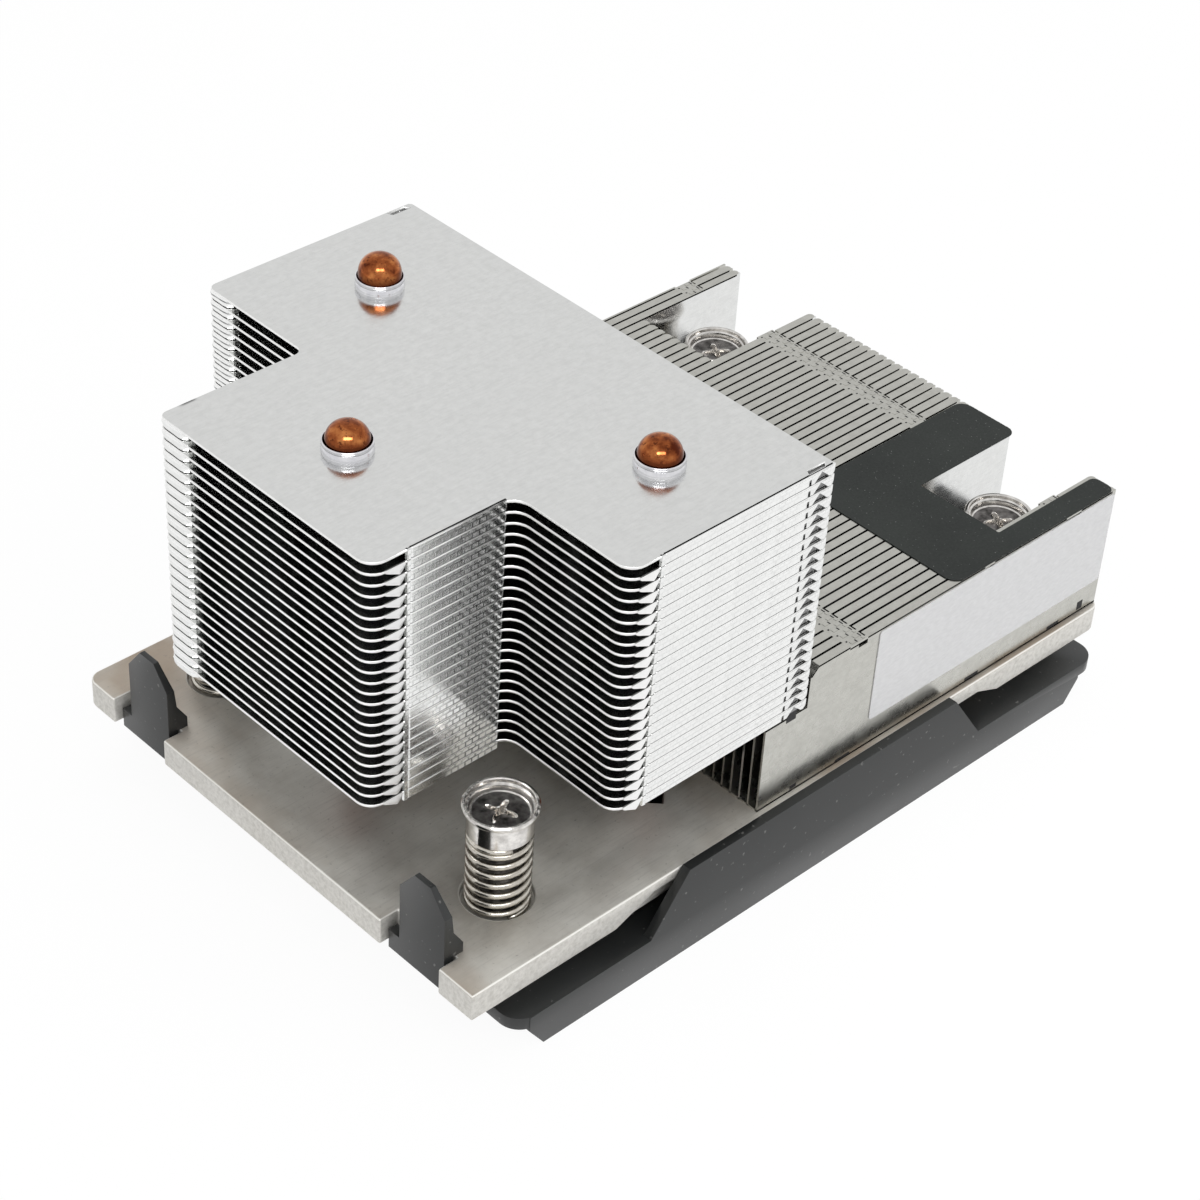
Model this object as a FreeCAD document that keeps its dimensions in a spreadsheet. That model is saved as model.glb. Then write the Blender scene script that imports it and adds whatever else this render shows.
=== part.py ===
import FreeCAD, Part
import Sketcher
import math
import os
import re

from FreeCAD import Placement, Rotation, Vector

# Passive processor heatsink: a nickel-finished plate with a fin tower on three heat pipes, a low stack of
# upright fins behind it, four sprung captive screws, and a clip-on moulded tray that guards the contact pad.
# Frame: millimetres, +Z up, +X from the clip end to the far end, +Y away from the label side.
# Origin: centre of the pad's contact face, which is also the centre of the screw pattern.

SIZES = {
    # Screw pattern
    "screw_spacing_x": 94.0,
    "screw_spacing_y": 56.0,
    # Base plate
    "plate_length": 120.6,
    "plate_width": 79.0,
    "plate_thickness": 4.2,
    "plate_front_reach": 61.3,
    "plate_corner": 2.0,
    "notch_width": 11.0,
    "notch_depth": 3.0,
    "notch_spacing": 55.4,
    "relief_depth": 1.2,
    "relief_lip": 1.6,
    "relief_length": 61.0,
    "relief_slope": 6.5,
    # Contact pad
    "pad_length": 46.0,
    "pad_width": 46.0,
    "pad_thickness": 1.8,
    "pad_chamfer": 0.4,
    # Heat pipes
    "pipe_diameter": 6.0,
    "pipe_front_x": 48.0,
    "pipe_side_x": 21.3,
    "pipe_spread": 25.9,
    "pipe_bend_radius": 9.5,
    "pipe_flat_thickness": 3.0,
    "pipe_taper_length": 6.0,
    "pipe_dome_height": 2.7,
    "pipe_rise_front": 3.7,
    "pipe_rise_left": 4.4,
    "pipe_rise_right": 3.85,
    "front_leg_length": 61.7,
    "side_leg_length": 25.5,
    "side_leg_angle": 45.0,
    "slot_clearance": 0.1,
    # Fin tower
    "tower_gap": 16.1,
    "fin_pitch": 1.6,
    "fin_sheet": 0.3,
    "stem_front_x": 61.1,
    "stem_width": 39.6,
    "bar_front_x": 38.9,
    "bar_rear_x": 4.7,
    "bar_width": 78.5,
    "fin_corner": 1.4,
    "flange_clearance": 0.12,
    "stem_flange_setback": 5.6,
    "stem_flange_stop": 1.4,
    "bar_flange_setback": 4.9,
    "bar_flange_stop": 4.6,
    "collar_height": 1.4,
    "collar_wall": 0.2,
    # Lower fin stack
    "stack_front_x": 11.1,
    "stack_rear_x": 58.8,
    "stack_height": 19.9,
    "stack_step_height": 13.9,
    "stack_step_length": 7.7,
    "stack_chamfer": 1.4,
    "stack_pitch": 1.6,
    "stack_notch_x": 37.95,
    "stack_notch_inner": 20.5,
    "stack_notch_outer": 34.7,
    # Film and label
    "film_front_x": 24.5,
    "film_inner_y": 10.2,
    "film_thickness": 0.15,
    "film_corner": 1.6,
    "trim_inset": 0.2,
    "label_front_x": 9.7,
    "label_low": 4.4,
    "label_tall": 15.0,
    "label_thickness": 0.12,
    # Captive screws
    "screw_head_top": 15.33,
    "head_height": 4.3,
    "head_band_diameter": 8.6,
    "head_rim_diameter": 9.9,
    "head_rim_height": 0.7,
    "head_recess_diameter": 7.4,
    "head_recess_depth": 1.3,
    "drive_width": 2.6,
    "drive_depth": 1.6,
    "shank_diameter": 4.6,
    "shank_clearance": 0.3,
    "thread_diameter": 4.0,
    "tip_reach": 4.9,
    "neck_diameter": 3.2,
    "spring_seat_diameter": 9.5,
    "spring_seat_depth": 1.2,
    "spring_diameter": 8.6,
    "wire_diameter": 0.9,
    # Retaining rings
    "clip_diameter": 7.6,
    "clip_thickness": 0.6,
    "clip_mouth": 2.6,
    "clip_clearance": 0.2,
    "neck_clearance": 0.05,
    # Protective tray
    "tray_drop": 2.2,
    "tray_floor": 1.9,
    "tray_front_setback": 6.3,
    "tray_rear_setback": 0.6,
    "tray_corner": 3.2,
    "tray_side_gap": 0.1,
    "tray_wall": 1.4,
    "skirt_drop": 4.0,
    "skirt_front_setback": 11.0,
    "skirt_rear_setback": 7.1,
    "skirt_slope_run": 2.5,
    "skirt_slope_rise": 3.5,
    "guard_top_half": 25.8,
    "guard_foot_half": 32.0,
    "guard_rise": 0.4,
    "tray_hole_diameter": 9.0,
    "tongue_width": 8.4,
    "tongue_offset": 1.0,
    "tongue_inset": 1.2,
    "tongue_wall": 1.5,
    "tongue_tip_wall": 0.8,
    "tongue_height": 10.5,
    "tongue_corner_run": 2.7,
    "tongue_corner_drop": 3.5,
    "tongue_clearance": 0.3,
    "root_width": 10.4,
    "root_drop": 2.0,
    "barb_reach": 1.6,
    "barb_nose": 1.6,
    "barb_height": 4.1,
    "hook_wall": 1.5,
    "hook_reach": 1.6,
    "hook_nose": 0.8,
    "hook_height": 2.4,
    "floor_overlap": 1.0,
    "hook_width": 9.0,
}

FIN_COUNT = 24
STACK_FIN_COUNT = 49
SPRING_TURNS = 8
SPRING_SIDES = 8
HOLE_SIDES = 8
RING_SIDES = 16
BEND_MITRES = 3
BEND_SIDES = 12
DOME_RINGS = 2
TOUCH = 0.01

# Levels and lines that several pieces share, as formulas of the sizes above
PLATE_BOTTOM = "pad_thickness"
PLATE_TOP = "(pad_thickness + plate_thickness)"
PLATE_REAR = "(plate_length - plate_front_reach)"
SCREW_X = "(screw_spacing_x / 2)"
SCREW_Y = "(screw_spacing_y / 2)"
NOTCH_Y = "(notch_spacing / 2)"
PIPE_RADIUS = "(pipe_diameter / 2)"
FLAT_HALF_WIDTH = "((pipe_flat_thickness + pi / 2 * (pipe_diameter - pipe_flat_thickness)) / 2)"
FLAT_HALF_CORE = "(pi / 4 * (pipe_diameter - pipe_flat_thickness))"
BEND_LEVEL = f"({PLATE_BOTTOM} + {PIPE_RADIUS})"
FLAT_LEVEL = f"({PLATE_BOTTOM} + pipe_flat_thickness / 2)"
BEND_TOP = f"({BEND_LEVEL} + pipe_bend_radius)"
FIN_BASE = f"({PLATE_TOP} + tower_gap)"
TOWER_TOP = f"({FIN_BASE} + {FIN_COUNT - 1} * fin_pitch + fin_sheet)"
FLANGE_DROP = "(fin_pitch - fin_sheet - flange_clearance)"
STACK_TOP = f"({PLATE_TOP} + stack_height)"
STACK_HALF = f"(({STACK_FIN_COUNT - 1} * stack_pitch + fin_sheet) / 2)"
HEAD_TOP = f"({PLATE_TOP} + screw_head_top)"
HEAD_BOTTOM = f"({HEAD_TOP} - head_height)"
SPRING_SEAT = f"({PLATE_TOP} - spring_seat_depth)"
CLIP_BOTTOM = f"({PLATE_BOTTOM} - clip_thickness)"
TRAY_TOP = "(-tray_drop)"
TRAY_BOTTOM = "(-tray_drop - tray_floor)"
TRAY_HALF = "(plate_width / 2 + tray_side_gap + tray_wall)"
TRAY_FRONT = "(tray_front_setback - plate_front_reach)"
TRAY_REAR = f"({PLATE_REAR} - tray_rear_setback)"
SKIRT_BOTTOM = f"({TRAY_BOTTOM} - skirt_drop)"
SKIRT_FRONT = "(skirt_front_setback - plate_front_reach)"
SKIRT_REAR = f"({PLATE_REAR} - skirt_rear_setback)"

doc = FreeCAD.newDocument("Heatsink")
sheet = doc.addObject("Spreadsheet::Sheet", "Size")
for row, (alias, number) in enumerate(SIZES.items(), start=1):
    sheet.set(f"A{row}", alias)
    sheet.set(f"B{row}", str(number))
    sheet.setAlias(f"B{row}", alias)
doc.recompute()

nodes = []


def formula(text):
    """The expression with each size's alias pointed at the sheet."""
    return re.sub(r"[a-z_]+", lambda word: f"Size.{word[0]}" if word[0] in SIZES else word[0], text)


def value(text):
    """The number that an expression gives at the present sizes."""
    return float(sheet.evalExpression(formula(text)))


def bind(item, name, text):
    item.setExpression(name, formula(text))


def keep(item, label):
    """Names a finished piece and lists it as a node."""
    item.Label = label
    nodes.append(item)
    return item


def new_body(label, x="0", y="0", z="0", turn="0"):
    body = doc.addObject("PartDesign::Body", label)
    bind(body, "Placement.Base.x", x)
    bind(body, "Placement.Base.y", y)
    bind(body, "Placement.Base.z", z)
    bind(body, "Placement.Rotation.Angle", turn)
    return keep(body, label)


def new_sketch(body, name, plane, lift="0", shift="0"):
    """A sketch on one of the body's own origin planes, lifted along its normal."""
    sketch = body.newObject("Sketcher::SketchObject", name)
    support = next(item for item in body.Origin.OriginFeatures if item.Role == plane)
    sketch.AttachmentSupport = (support, [""])
    sketch.MapMode = "FlatFace"
    bind(sketch, "AttachmentOffset.Base.z", lift)
    bind(sketch, "AttachmentOffset.Base.x", shift)
    return sketch


def hold_along(sketch, kind, index, point, text):
    """Holds one point of a sketch at a distance from its origin along one axis."""
    constraint = sketch.addConstraint(Sketcher.Constraint(kind, -1, 1, index, point, value(text)))
    bind(sketch, f"Constraints[{constraint}]", text)


def hold(sketch, index, point, x, y):
    hold_along(sketch, "DistanceX", index, point, x)
    hold_along(sketch, "DistanceY", index, point, y)


def draw_loop(sketch, corners):
    """A closed outline of straight edges with every corner bound to the sheet."""
    first = sketch.GeometryCount
    points = [Vector(value(x), value(y), 0) for x, y in corners]
    for start, end in zip(points, points[1:] + points[:1]):
        sketch.addGeometry(Part.LineSegment(start, end))
    for step in range(len(points)):
        follower = first + (step + 1) % len(points)
        sketch.addConstraint(Sketcher.Constraint("Coincident", first + step, 2, follower, 1))
    for step, (x, y) in enumerate(corners):
        hold(sketch, first + step, 1, x, y)


def draw_box(sketch, x_low, x_high, y_low, y_high):
    draw_loop(sketch, [(x_low, y_low), (x_high, y_low), (x_high, y_high), (x_low, y_high)])


def draw_circle(sketch, x, y, radius):
    centre = Vector(value(x), value(y), 0)
    index = sketch.addGeometry(Part.Circle(centre, Vector(0, 0, 1), value(radius)))
    hold(sketch, index, 3, x, y)
    constraint = sketch.addConstraint(Sketcher.Constraint("Radius", index, value(radius)))
    bind(sketch, f"Constraints[{constraint}]", radius)


def draw_polygon(sketch, x, y, radius, sides):
    """A regular outline whose flats touch a circle of the given radius."""
    corner = f"(({radius}) / cos({180 / sides}))"
    angles = [360 / sides * (step + 0.5) for step in range(sides)]
    draw_loop(sketch, [(f"{x} + {corner} * cos({a})", f"{y} + {corner} * sin({a})") for a in angles])


def add_pad(body, name, sketch, length, down=False):
    pad = body.newObject("PartDesign::Pad", name)
    pad.Profile = sketch
    pad.Reversed = down
    bind(pad, "Length", length)
    return pad


def cut_pocket(body, name, sketch, depth, up=False):
    """A pocket against the sketch's normal, or along it; it must take material away."""
    doc.recompute()
    before = body.Shape.Volume
    pocket = body.newObject("PartDesign::Pocket", name)
    pocket.Profile = sketch
    pocket.Reversed = up
    bind(pocket, "Length", depth)
    doc.recompute()
    if not body.Shape.Volume < before:
        raise ValueError(f"{name} cuts nothing")
    return pocket


def upright_edges(shape, corners):
    """Names of the vertical edges that stand at the given corners."""
    places = [(value(x), value(y)) for x, y in corners]
    names = []
    for number, edge in enumerate(shape.Edges, start=1):
        low, high = edge.BoundBox.getPoint(0), edge.BoundBox.getPoint(6)
        if abs(low.x - high.x) > TOUCH or abs(low.y - high.y) > TOUCH:
            continue
        if any(abs(low.x - x) < TOUCH and abs(low.y - y) < TOUCH for x, y in places):
            names.append(f"Edge{number}")
    return names


def dress(body, kind, name, base, edges, size, prop):
    """A fillet or a chamfer on named edges of the feature made last."""
    feature = body.newObject(f"PartDesign::{kind}", name)
    feature.Base = (base, edges)
    bind(feature, prop, size)
    doc.recompute()
    return feature


def four_screws():
    """Name and signs of each screw position."""
    for end, x_sign in (("front", "-"), ("rear", "")):
        for side, y_sign in (("right", "-"), ("left", "")):
            yield f"{end}_{side}", f"{x_sign}{SCREW_X}", f"{y_sign}{SCREW_Y}"


# Base plate
def make_base_plate():
    plate = new_body("base_plate")
    front = "-plate_front_reach"
    notch_back = "-plate_front_reach + notch_depth"
    outline = new_sketch(plate, "PlateOutline", "XY_Plane", PLATE_BOTTOM)
    draw_loop(
        outline,
        [
            (front, "-plate_width / 2"),
            (PLATE_REAR, "-plate_width / 2"),
            (PLATE_REAR, "plate_width / 2"),
            (front, "plate_width / 2"),
            (front, f"{NOTCH_Y} + notch_width / 2"),
            (notch_back, f"{NOTCH_Y} + notch_width / 2"),
            (notch_back, f"{NOTCH_Y} - notch_width / 2"),
            (front, f"{NOTCH_Y} - notch_width / 2"),
            (front, f"-{NOTCH_Y} + notch_width / 2"),
            (notch_back, f"-{NOTCH_Y} + notch_width / 2"),
            (notch_back, f"-{NOTCH_Y} - notch_width / 2"),
            (front, f"-{NOTCH_Y} - notch_width / 2"),
        ],
    )
    slab = add_pad(plate, "PlateSlab", outline, "plate_thickness")
    doc.recompute()
    rounded = [
        (PLATE_REAR, "-plate_width / 2"),
        (PLATE_REAR, "plate_width / 2"),
        (front, "plate_width / 2"),
    ]
    dress(plate, "Fillet", "PlateCorners", slab, upright_edges(slab.Shape, rounded), "plate_corner", "Radius")

    seats = new_sketch(plate, "SpringSeats", "XY_Plane", PLATE_TOP)
    bores = new_sketch(plate, "ScrewBores", "XY_Plane", PLATE_TOP)
    for _, x, y in four_screws():
        draw_circle(seats, x, y, "spring_seat_diameter / 2")
        draw_polygon(bores, x, y, "shank_diameter / 2 + shank_clearance", HOLE_SIDES)
    cut_pocket(plate, "SpringSeatPockets", seats, "spring_seat_depth")
    cut_pocket(plate, "ScrewBorePockets", bores, "plate_thickness")

    # Relief under a lip along each long side, with sloped ends
    for side, lift in (("Right", "plate_width / 2"), ("Left", "relief_depth - plate_width / 2")):
        relief = new_sketch(plate, f"Relief{side}", "XZ_Plane", lift)
        draw_loop(
            relief,
            [
                ("-relief_length / 2 - relief_slope", PLATE_BOTTOM),
                ("relief_length / 2 + relief_slope", PLATE_BOTTOM),
                ("relief_length / 2", f"{PLATE_TOP} - relief_lip"),
                ("-relief_length / 2", f"{PLATE_TOP} - relief_lip"),
            ],
        )
        cut_pocket(plate, f"ReliefPocket{side}", relief, "relief_depth")

    # Each pipe comes down through a slot and lies in a groove in the underside
    half = f"({FLAT_HALF_WIDTH} + slot_clearance)"
    slot_end = "pipe_bend_radius + pipe_taper_length"
    for name, x, y, turn, length in pipe_routes():
        for part, far, depth in (("Slot", slot_end, "plate_thickness"), ("Groove", length, "pipe_flat_thickness")):
            sketch = new_sketch(plate, f"{part}_{name}", "XY_Plane", PLATE_BOTTOM)
            back = f"-({half} - {PIPE_RADIUS})"
            draw_loop(
                sketch,
                [turned(along, across, x, y, turn) for along, across in (
                    (back, f"-{half}"),
                    (f"{far} + slot_clearance", f"-{half}"),
                    (f"{far} + slot_clearance", half),
                    (back, half),
                )],
            )
            cut_pocket(plate, f"{part}Pocket_{name}", sketch, depth, up=True)


def turned(along, across, x, y, turn):
    """A point given along and across a route, as formulas in the plate's own directions."""
    return (
        f"{x} + ({along}) * cos({turn}) - ({across}) * sin({turn})",
        f"{y} + ({along}) * sin({turn}) + ({across}) * cos({turn})",
    )


# Contact pad
def make_contact_pad():
    pad = new_body("contact_pad")
    face = new_sketch(pad, "ContactFace", "XY_Plane")
    draw_box(face, "-pad_length / 2", "pad_length / 2", "-pad_width / 2", "pad_width / 2")
    block = add_pad(pad, "PadBlock", face, "pad_thickness")
    doc.recompute()
    corners = [(f"{sx}pad_length / 2", f"{sy}pad_width / 2") for sx in ("", "-") for sy in ("", "-")]
    dress(pad, "Chamfer", "PadCorners", block, upright_edges(block.Shape, corners), "pad_chamfer", "Size")


# Heat pipes
def pipe_routes():
    """Name, upright's place, direction of the leg in degrees and its length."""
    return (
        ("front", "-pipe_front_x", "0", "0", "front_leg_length"),
        ("left", "-pipe_side_x", "pipe_spread", "-side_leg_angle", "side_leg_length"),
        ("right", "-pipe_side_x", "-pipe_spread", "side_leg_angle", "side_leg_length"),
    )


def flat_section(sketch, level):
    """The flattened section: two flats and two round edges."""
    low = f"{level} - pipe_flat_thickness / 2"
    high = f"{level} + pipe_flat_thickness / 2"
    core = FLAT_HALF_CORE
    points = [(core, low), (core, high), (f"-{core}", high), (f"-{core}", low)]
    places = [Vector(value(x), value(y), 0) for x, y in points]
    bulge = Vector(value(FLAT_HALF_WIDTH), value(level), 0)
    bulge_back = Vector(-value(FLAT_HALF_WIDTH), value(level), 0)
    top = sketch.addGeometry(Part.LineSegment(places[1], places[2]))
    back = sketch.addGeometry(Part.Arc(places[2], bulge_back, places[3]))
    bottom = sketch.addGeometry(Part.LineSegment(places[3], places[0]))
    front = sketch.addGeometry(Part.Arc(places[0], bulge, places[1]))
    for line, (start, end) in ((top, (1, 2)), (bottom, (3, 0))):
        hold(sketch, line, 1, *points[start])
        hold(sketch, line, 2, *points[end])
    sketch.addConstraint(Sketcher.Constraint("Coincident", back, 1, top, 2))
    sketch.addConstraint(Sketcher.Constraint("Coincident", back, 2, bottom, 1))
    sketch.addConstraint(Sketcher.Constraint("Coincident", front, 1, bottom, 2))
    sketch.addConstraint(Sketcher.Constraint("Coincident", front, 2, top, 1))
    hold_along(sketch, "DistanceX", front, 3, core)
    hold_along(sketch, "DistanceX", back, 3, f"-{core}")


def draw_spine(sketch):
    """The bend's centre line: round in mitred steps from upright to level."""
    turn = 90 / BEND_MITRES
    reach = f"pipe_bend_radius / cos({turn / 2})"
    angles = [turn * (step + 0.5) for step in range(BEND_MITRES)]
    corners = [("0", BEND_TOP)]
    corners += [
        (f"pipe_bend_radius - {reach} * cos({angle})", f"{BEND_TOP} - {reach} * sin({angle})") for angle in angles
    ]
    corners.append(("pipe_bend_radius", BEND_LEVEL))
    points = [Vector(value(x), value(y), 0) for x, y in corners]
    for index, (start, end) in enumerate(zip(points, points[1:])):
        sketch.addGeometry(Part.LineSegment(start, end))
        hold(sketch, index, 1, *corners[index])
        if index:
            sketch.addConstraint(Sketcher.Constraint("Coincident", index - 1, 2, index, 1))
    hold(sketch, len(points) - 2, 2, *corners[-1])


def draw_round(sketch, level):
    """The pipe's round section as flat facets, whose corners lie on the round."""
    angles = [360 / BEND_SIDES * (step + 0.5) for step in range(BEND_SIDES)]
    draw_loop(sketch, [(f"{PIPE_RADIUS} * cos({a})", f"{level} + {PIPE_RADIUS} * sin({a})") for a in angles])


def make_heat_pipe(name, x, y, turn, length):
    """An upright with a domed end, a bend, a taper to the flattened section, and a leg along the plate."""
    pipe = new_body(f"heat_pipe_{name}", x, y, "0", turn)
    shoulder = f"({TOWER_TOP} + pipe_rise_{name} - pipe_dome_height)"
    circle = new_sketch(pipe, f"Upright_{name}", "XY_Plane", BEND_TOP)
    draw_circle(circle, "0", "0", PIPE_RADIUS)
    add_pad(pipe, f"UprightPad_{name}", circle, f"{shoulder} - {BEND_TOP}")
    spine = new_sketch(pipe, f"Spine_{name}", "XZ_Plane")
    draw_spine(spine)
    section = new_sketch(pipe, f"BendSection_{name}", "XY_Plane", BEND_TOP)
    draw_round(section, "0")
    sweep = pipe.newObject("PartDesign::AdditivePipe", f"Bend_{name}")
    sweep.Profile = section
    sweep.Spine = spine
    sweep.Transition = "Right corner"
    doc.recompute()

    dome = new_sketch(pipe, f"DomeProfile_{name}", "XZ_Plane")
    angles = [90 * step / DOME_RINGS for step in range(DOME_RINGS)]
    rings = [(f"{PIPE_RADIUS} * cos({a})", f"{shoulder} + pipe_dome_height * sin({a})") for a in angles]
    draw_loop(dome, [("0", shoulder), *rings, ("0", f"{shoulder} + pipe_dome_height")])
    turning = pipe.newObject("PartDesign::Revolution", f"Dome_{name}")
    turning.Profile = dome
    turning.ReferenceAxis = (dome, ["V_Axis"])
    turning.Angle = 360
    doc.recompute()

    start = new_sketch(pipe, f"TaperStart_{name}", "YZ_Plane", "pipe_bend_radius")
    end = new_sketch(pipe, f"TaperEnd_{name}", "YZ_Plane", "pipe_bend_radius + pipe_taper_length")
    draw_round(start, BEND_LEVEL)
    flat_points = []
    for step in range(BEND_SIDES):
        a = 360 / BEND_SIDES * (step + 0.5)
        core = FLAT_HALF_CORE if math.cos(math.radians(a)) > 0 else f"-{FLAT_HALF_CORE}"
        edge = "pipe_flat_thickness / 2"
        flat_points.append((f"{core} + {edge} * cos({a})", f"{FLAT_LEVEL} + {edge} * sin({a})"))
    draw_loop(end, flat_points)
    taper = pipe.newObject("PartDesign::AdditiveLoft", f"Taper_{name}")
    taper.Profile = start
    taper.Sections = [end]
    taper.Ruled = True
    doc.recompute()

    leg = new_sketch(pipe, f"Leg_{name}", "YZ_Plane", "pipe_bend_radius + pipe_taper_length")
    flat_section(leg, FLAT_LEVEL)
    add_pad(pipe, f"LegPad_{name}", leg, f"{length} - pipe_bend_radius - pipe_taper_length")


# Fin tower
def draw_fin_outline(sketch):
    stem = "stem_width / 2"
    bar = "bar_width / 2"
    draw_loop(
        sketch,
        [
            ("-stem_front_x", f"-{stem}"),
            ("-bar_front_x", f"-{stem}"),
            ("-bar_front_x", f"-{bar}"),
            ("-bar_rear_x", f"-{bar}"),
            ("-bar_rear_x", bar),
            ("-bar_front_x", bar),
            ("-bar_front_x", stem),
            ("-stem_front_x", stem),
        ],
    )


def make_fin(label, raise_by, collars):
    """A T-shaped sheet with folded flanges on the four sides that lie along the air's way."""
    fin = new_body(label, z=f"{FIN_BASE} + {raise_by} * fin_pitch")
    outline = new_sketch(fin, f"Outline_{label}", "XY_Plane")
    draw_fin_outline(outline)
    hole_sides = RING_SIDES if collars else HOLE_SIDES
    for _, x, y, _, _ in pipe_routes():
        draw_polygon(outline, x, y, PIPE_RADIUS, hole_sides)
    web = add_pad(fin, f"Web_{label}", outline, "fin_sheet")
    doc.recompute()
    corners = [("-stem_front_x", f"{s}stem_width / 2") for s in ("-", "")]
    corners += [("-bar_front_x", f"{s}bar_width / 2") for s in ("-", "")]
    corners += [("-bar_rear_x", f"{s}bar_width / 2") for s in ("-", "")]
    dress(fin, "Chamfer", f"Corners_{label}", web, upright_edges(web.Shape, corners), "fin_corner", "Size")
    flanges = new_sketch(fin, f"Flanges_{label}", "XY_Plane")
    for sign, low, high in (("-", "0", "fin_sheet"), ("", "-fin_sheet", "0")):
        draw_box(
            flanges,
            "-stem_front_x + stem_flange_setback",
            "-bar_front_x - stem_flange_stop",
            f"{sign}stem_width / 2 + {low}",
            f"{sign}stem_width / 2 + {high}",
        )
        draw_box(
            flanges,
            "-bar_front_x + bar_flange_setback",
            "-bar_rear_x - bar_flange_stop",
            f"{sign}bar_width / 2 + {low}",
            f"{sign}bar_width / 2 + {high}",
        )
    add_pad(fin, f"FlangePad_{label}", flanges, FLANGE_DROP, down=True)
    if collars:
        rings = new_sketch(fin, f"Collars_{label}", "XY_Plane", "fin_sheet")
        for _, x, y, _, _ in pipe_routes():
            draw_polygon(rings, x, y, PIPE_RADIUS, RING_SIDES)
            draw_polygon(rings, x, y, f"{PIPE_RADIUS} + collar_wall", RING_SIDES)
        add_pad(fin, f"CollarPad_{label}", rings, "collar_height")
    return fin


def make_tower():
    """The lowest fin, copies of it one pitch apart, and a top fin whose collars stand up round the pipes."""
    lowest = make_fin("tower_fin_01", 0, collars=False)
    for number in range(2, FIN_COUNT):
        label = f"tower_fin_{number:02d}"
        copy = doc.addObject("Part::Compound", label)
        copy.Links = [lowest]
        bind(copy, "Placement.Base.z", f"{number - 1} * fin_pitch")
        keep(copy, label)
    make_fin(f"tower_fin_{FIN_COUNT}", FIN_COUNT - 1, collars=True)


# Lower fin stack
def make_lower_fin_stack():
    """Upright folded fins whose top and bottom flanges close the channels between them."""
    stack = new_body("lower_fin_stack")
    side = new_sketch(stack, "StackSide", "XZ_Plane", STACK_HALF)
    step_x = "-stack_front_x + stack_step_length"
    draw_loop(
        side,
        [
            ("-stack_front_x", PLATE_TOP),
            ("stack_rear_x", PLATE_TOP),
            ("stack_rear_x", STACK_TOP),
            (f"{step_x} + stack_chamfer", STACK_TOP),
            (step_x, f"{STACK_TOP} - stack_chamfer"),
            (step_x, f"{PLATE_TOP} + stack_step_height"),
            ("-stack_front_x", f"{PLATE_TOP} + stack_step_height"),
        ],
    )
    add_pad(stack, "StackBlock", side, f"2 * {STACK_HALF}", down=True)
    channel = new_sketch(stack, "Channel", "XZ_Plane", f"{STACK_HALF} - fin_sheet")
    draw_loop(
        channel,
        [
            ("-stack_front_x - fin_sheet", f"{PLATE_TOP} + fin_sheet"),
            ("stack_rear_x + fin_sheet", f"{PLATE_TOP} + fin_sheet"),
            ("stack_rear_x + fin_sheet", f"{STACK_TOP} - fin_sheet"),
            (f"{step_x} + stack_chamfer + fin_sheet / 2", f"{STACK_TOP} - fin_sheet"),
            (f"{step_x} + fin_sheet", f"{STACK_TOP} - stack_chamfer - fin_sheet / 2"),
            (f"{step_x} + fin_sheet", f"{PLATE_TOP} + stack_step_height - fin_sheet"),
            ("-stack_front_x - fin_sheet", f"{PLATE_TOP} + stack_step_height - fin_sheet"),
        ],
    )
    gap = cut_pocket(stack, "ChannelPocket", channel, "stack_pitch - fin_sheet")
    pattern = stack.newObject("PartDesign::LinearPattern", "Channels")
    pattern.Originals = [gap]
    pattern.Direction = (channel, ["N_Axis"])
    pattern.Reversed = True
    bind(pattern, "Length", f"{STACK_FIN_COUNT - 2} * stack_pitch")
    pattern.Occurrences = STACK_FIN_COUNT - 1
    stack.Tip = pattern
    doc.recompute()
    notches = new_sketch(stack, "ScrewNotches", "XY_Plane", STACK_TOP)
    beyond = "stack_rear_x + fin_sheet"
    draw_box(notches, "stack_notch_x", beyond, "-stack_notch_outer", "-stack_notch_inner")
    draw_box(notches, "stack_notch_x", beyond, "stack_notch_inner", "stack_notch_outer")
    cut_pocket(stack, "ScrewNotchPockets", notches, "stack_height")


# Film and label
def make_film():
    film = new_body("film")
    sheet_outline = new_sketch(film, "FilmOutline", "XY_Plane", STACK_TOP)
    rear = "stack_rear_x - trim_inset"
    draw_loop(
        sheet_outline,
        [
            ("film_front_x", f"-{STACK_HALF}"),
            (rear, f"-{STACK_HALF}"),
            (rear, "-stack_notch_outer"),
            ("stack_notch_x", "-stack_notch_outer"),
            ("stack_notch_x", "-stack_notch_inner"),
            (rear, "-stack_notch_inner"),
            (rear, "-film_inner_y"),
            ("film_front_x", "-film_inner_y"),
        ],
    )
    layer = add_pad(film, "FilmPad", sheet_outline, "film_thickness")
    doc.recompute()
    corners = [
        ("film_front_x", f"-{STACK_HALF}"),
        (rear, f"-{STACK_HALF}"),
        (rear, "-stack_notch_inner"),
        (rear, "-film_inner_y"),
    ]
    dress(film, "Fillet", "FilmCorners", layer, upright_edges(layer.Shape, corners), "film_corner", "Radius")


def make_label():
    label = new_body("label")
    outline = new_sketch(label, "LabelOutline", "XZ_Plane", STACK_HALF)
    low = f"{PLATE_TOP} + label_low"
    draw_box(outline, "label_front_x", "stack_rear_x - trim_inset", low, f"{low} + label_tall")
    add_pad(label, "LabelPad", outline, "label_thickness")


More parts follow.
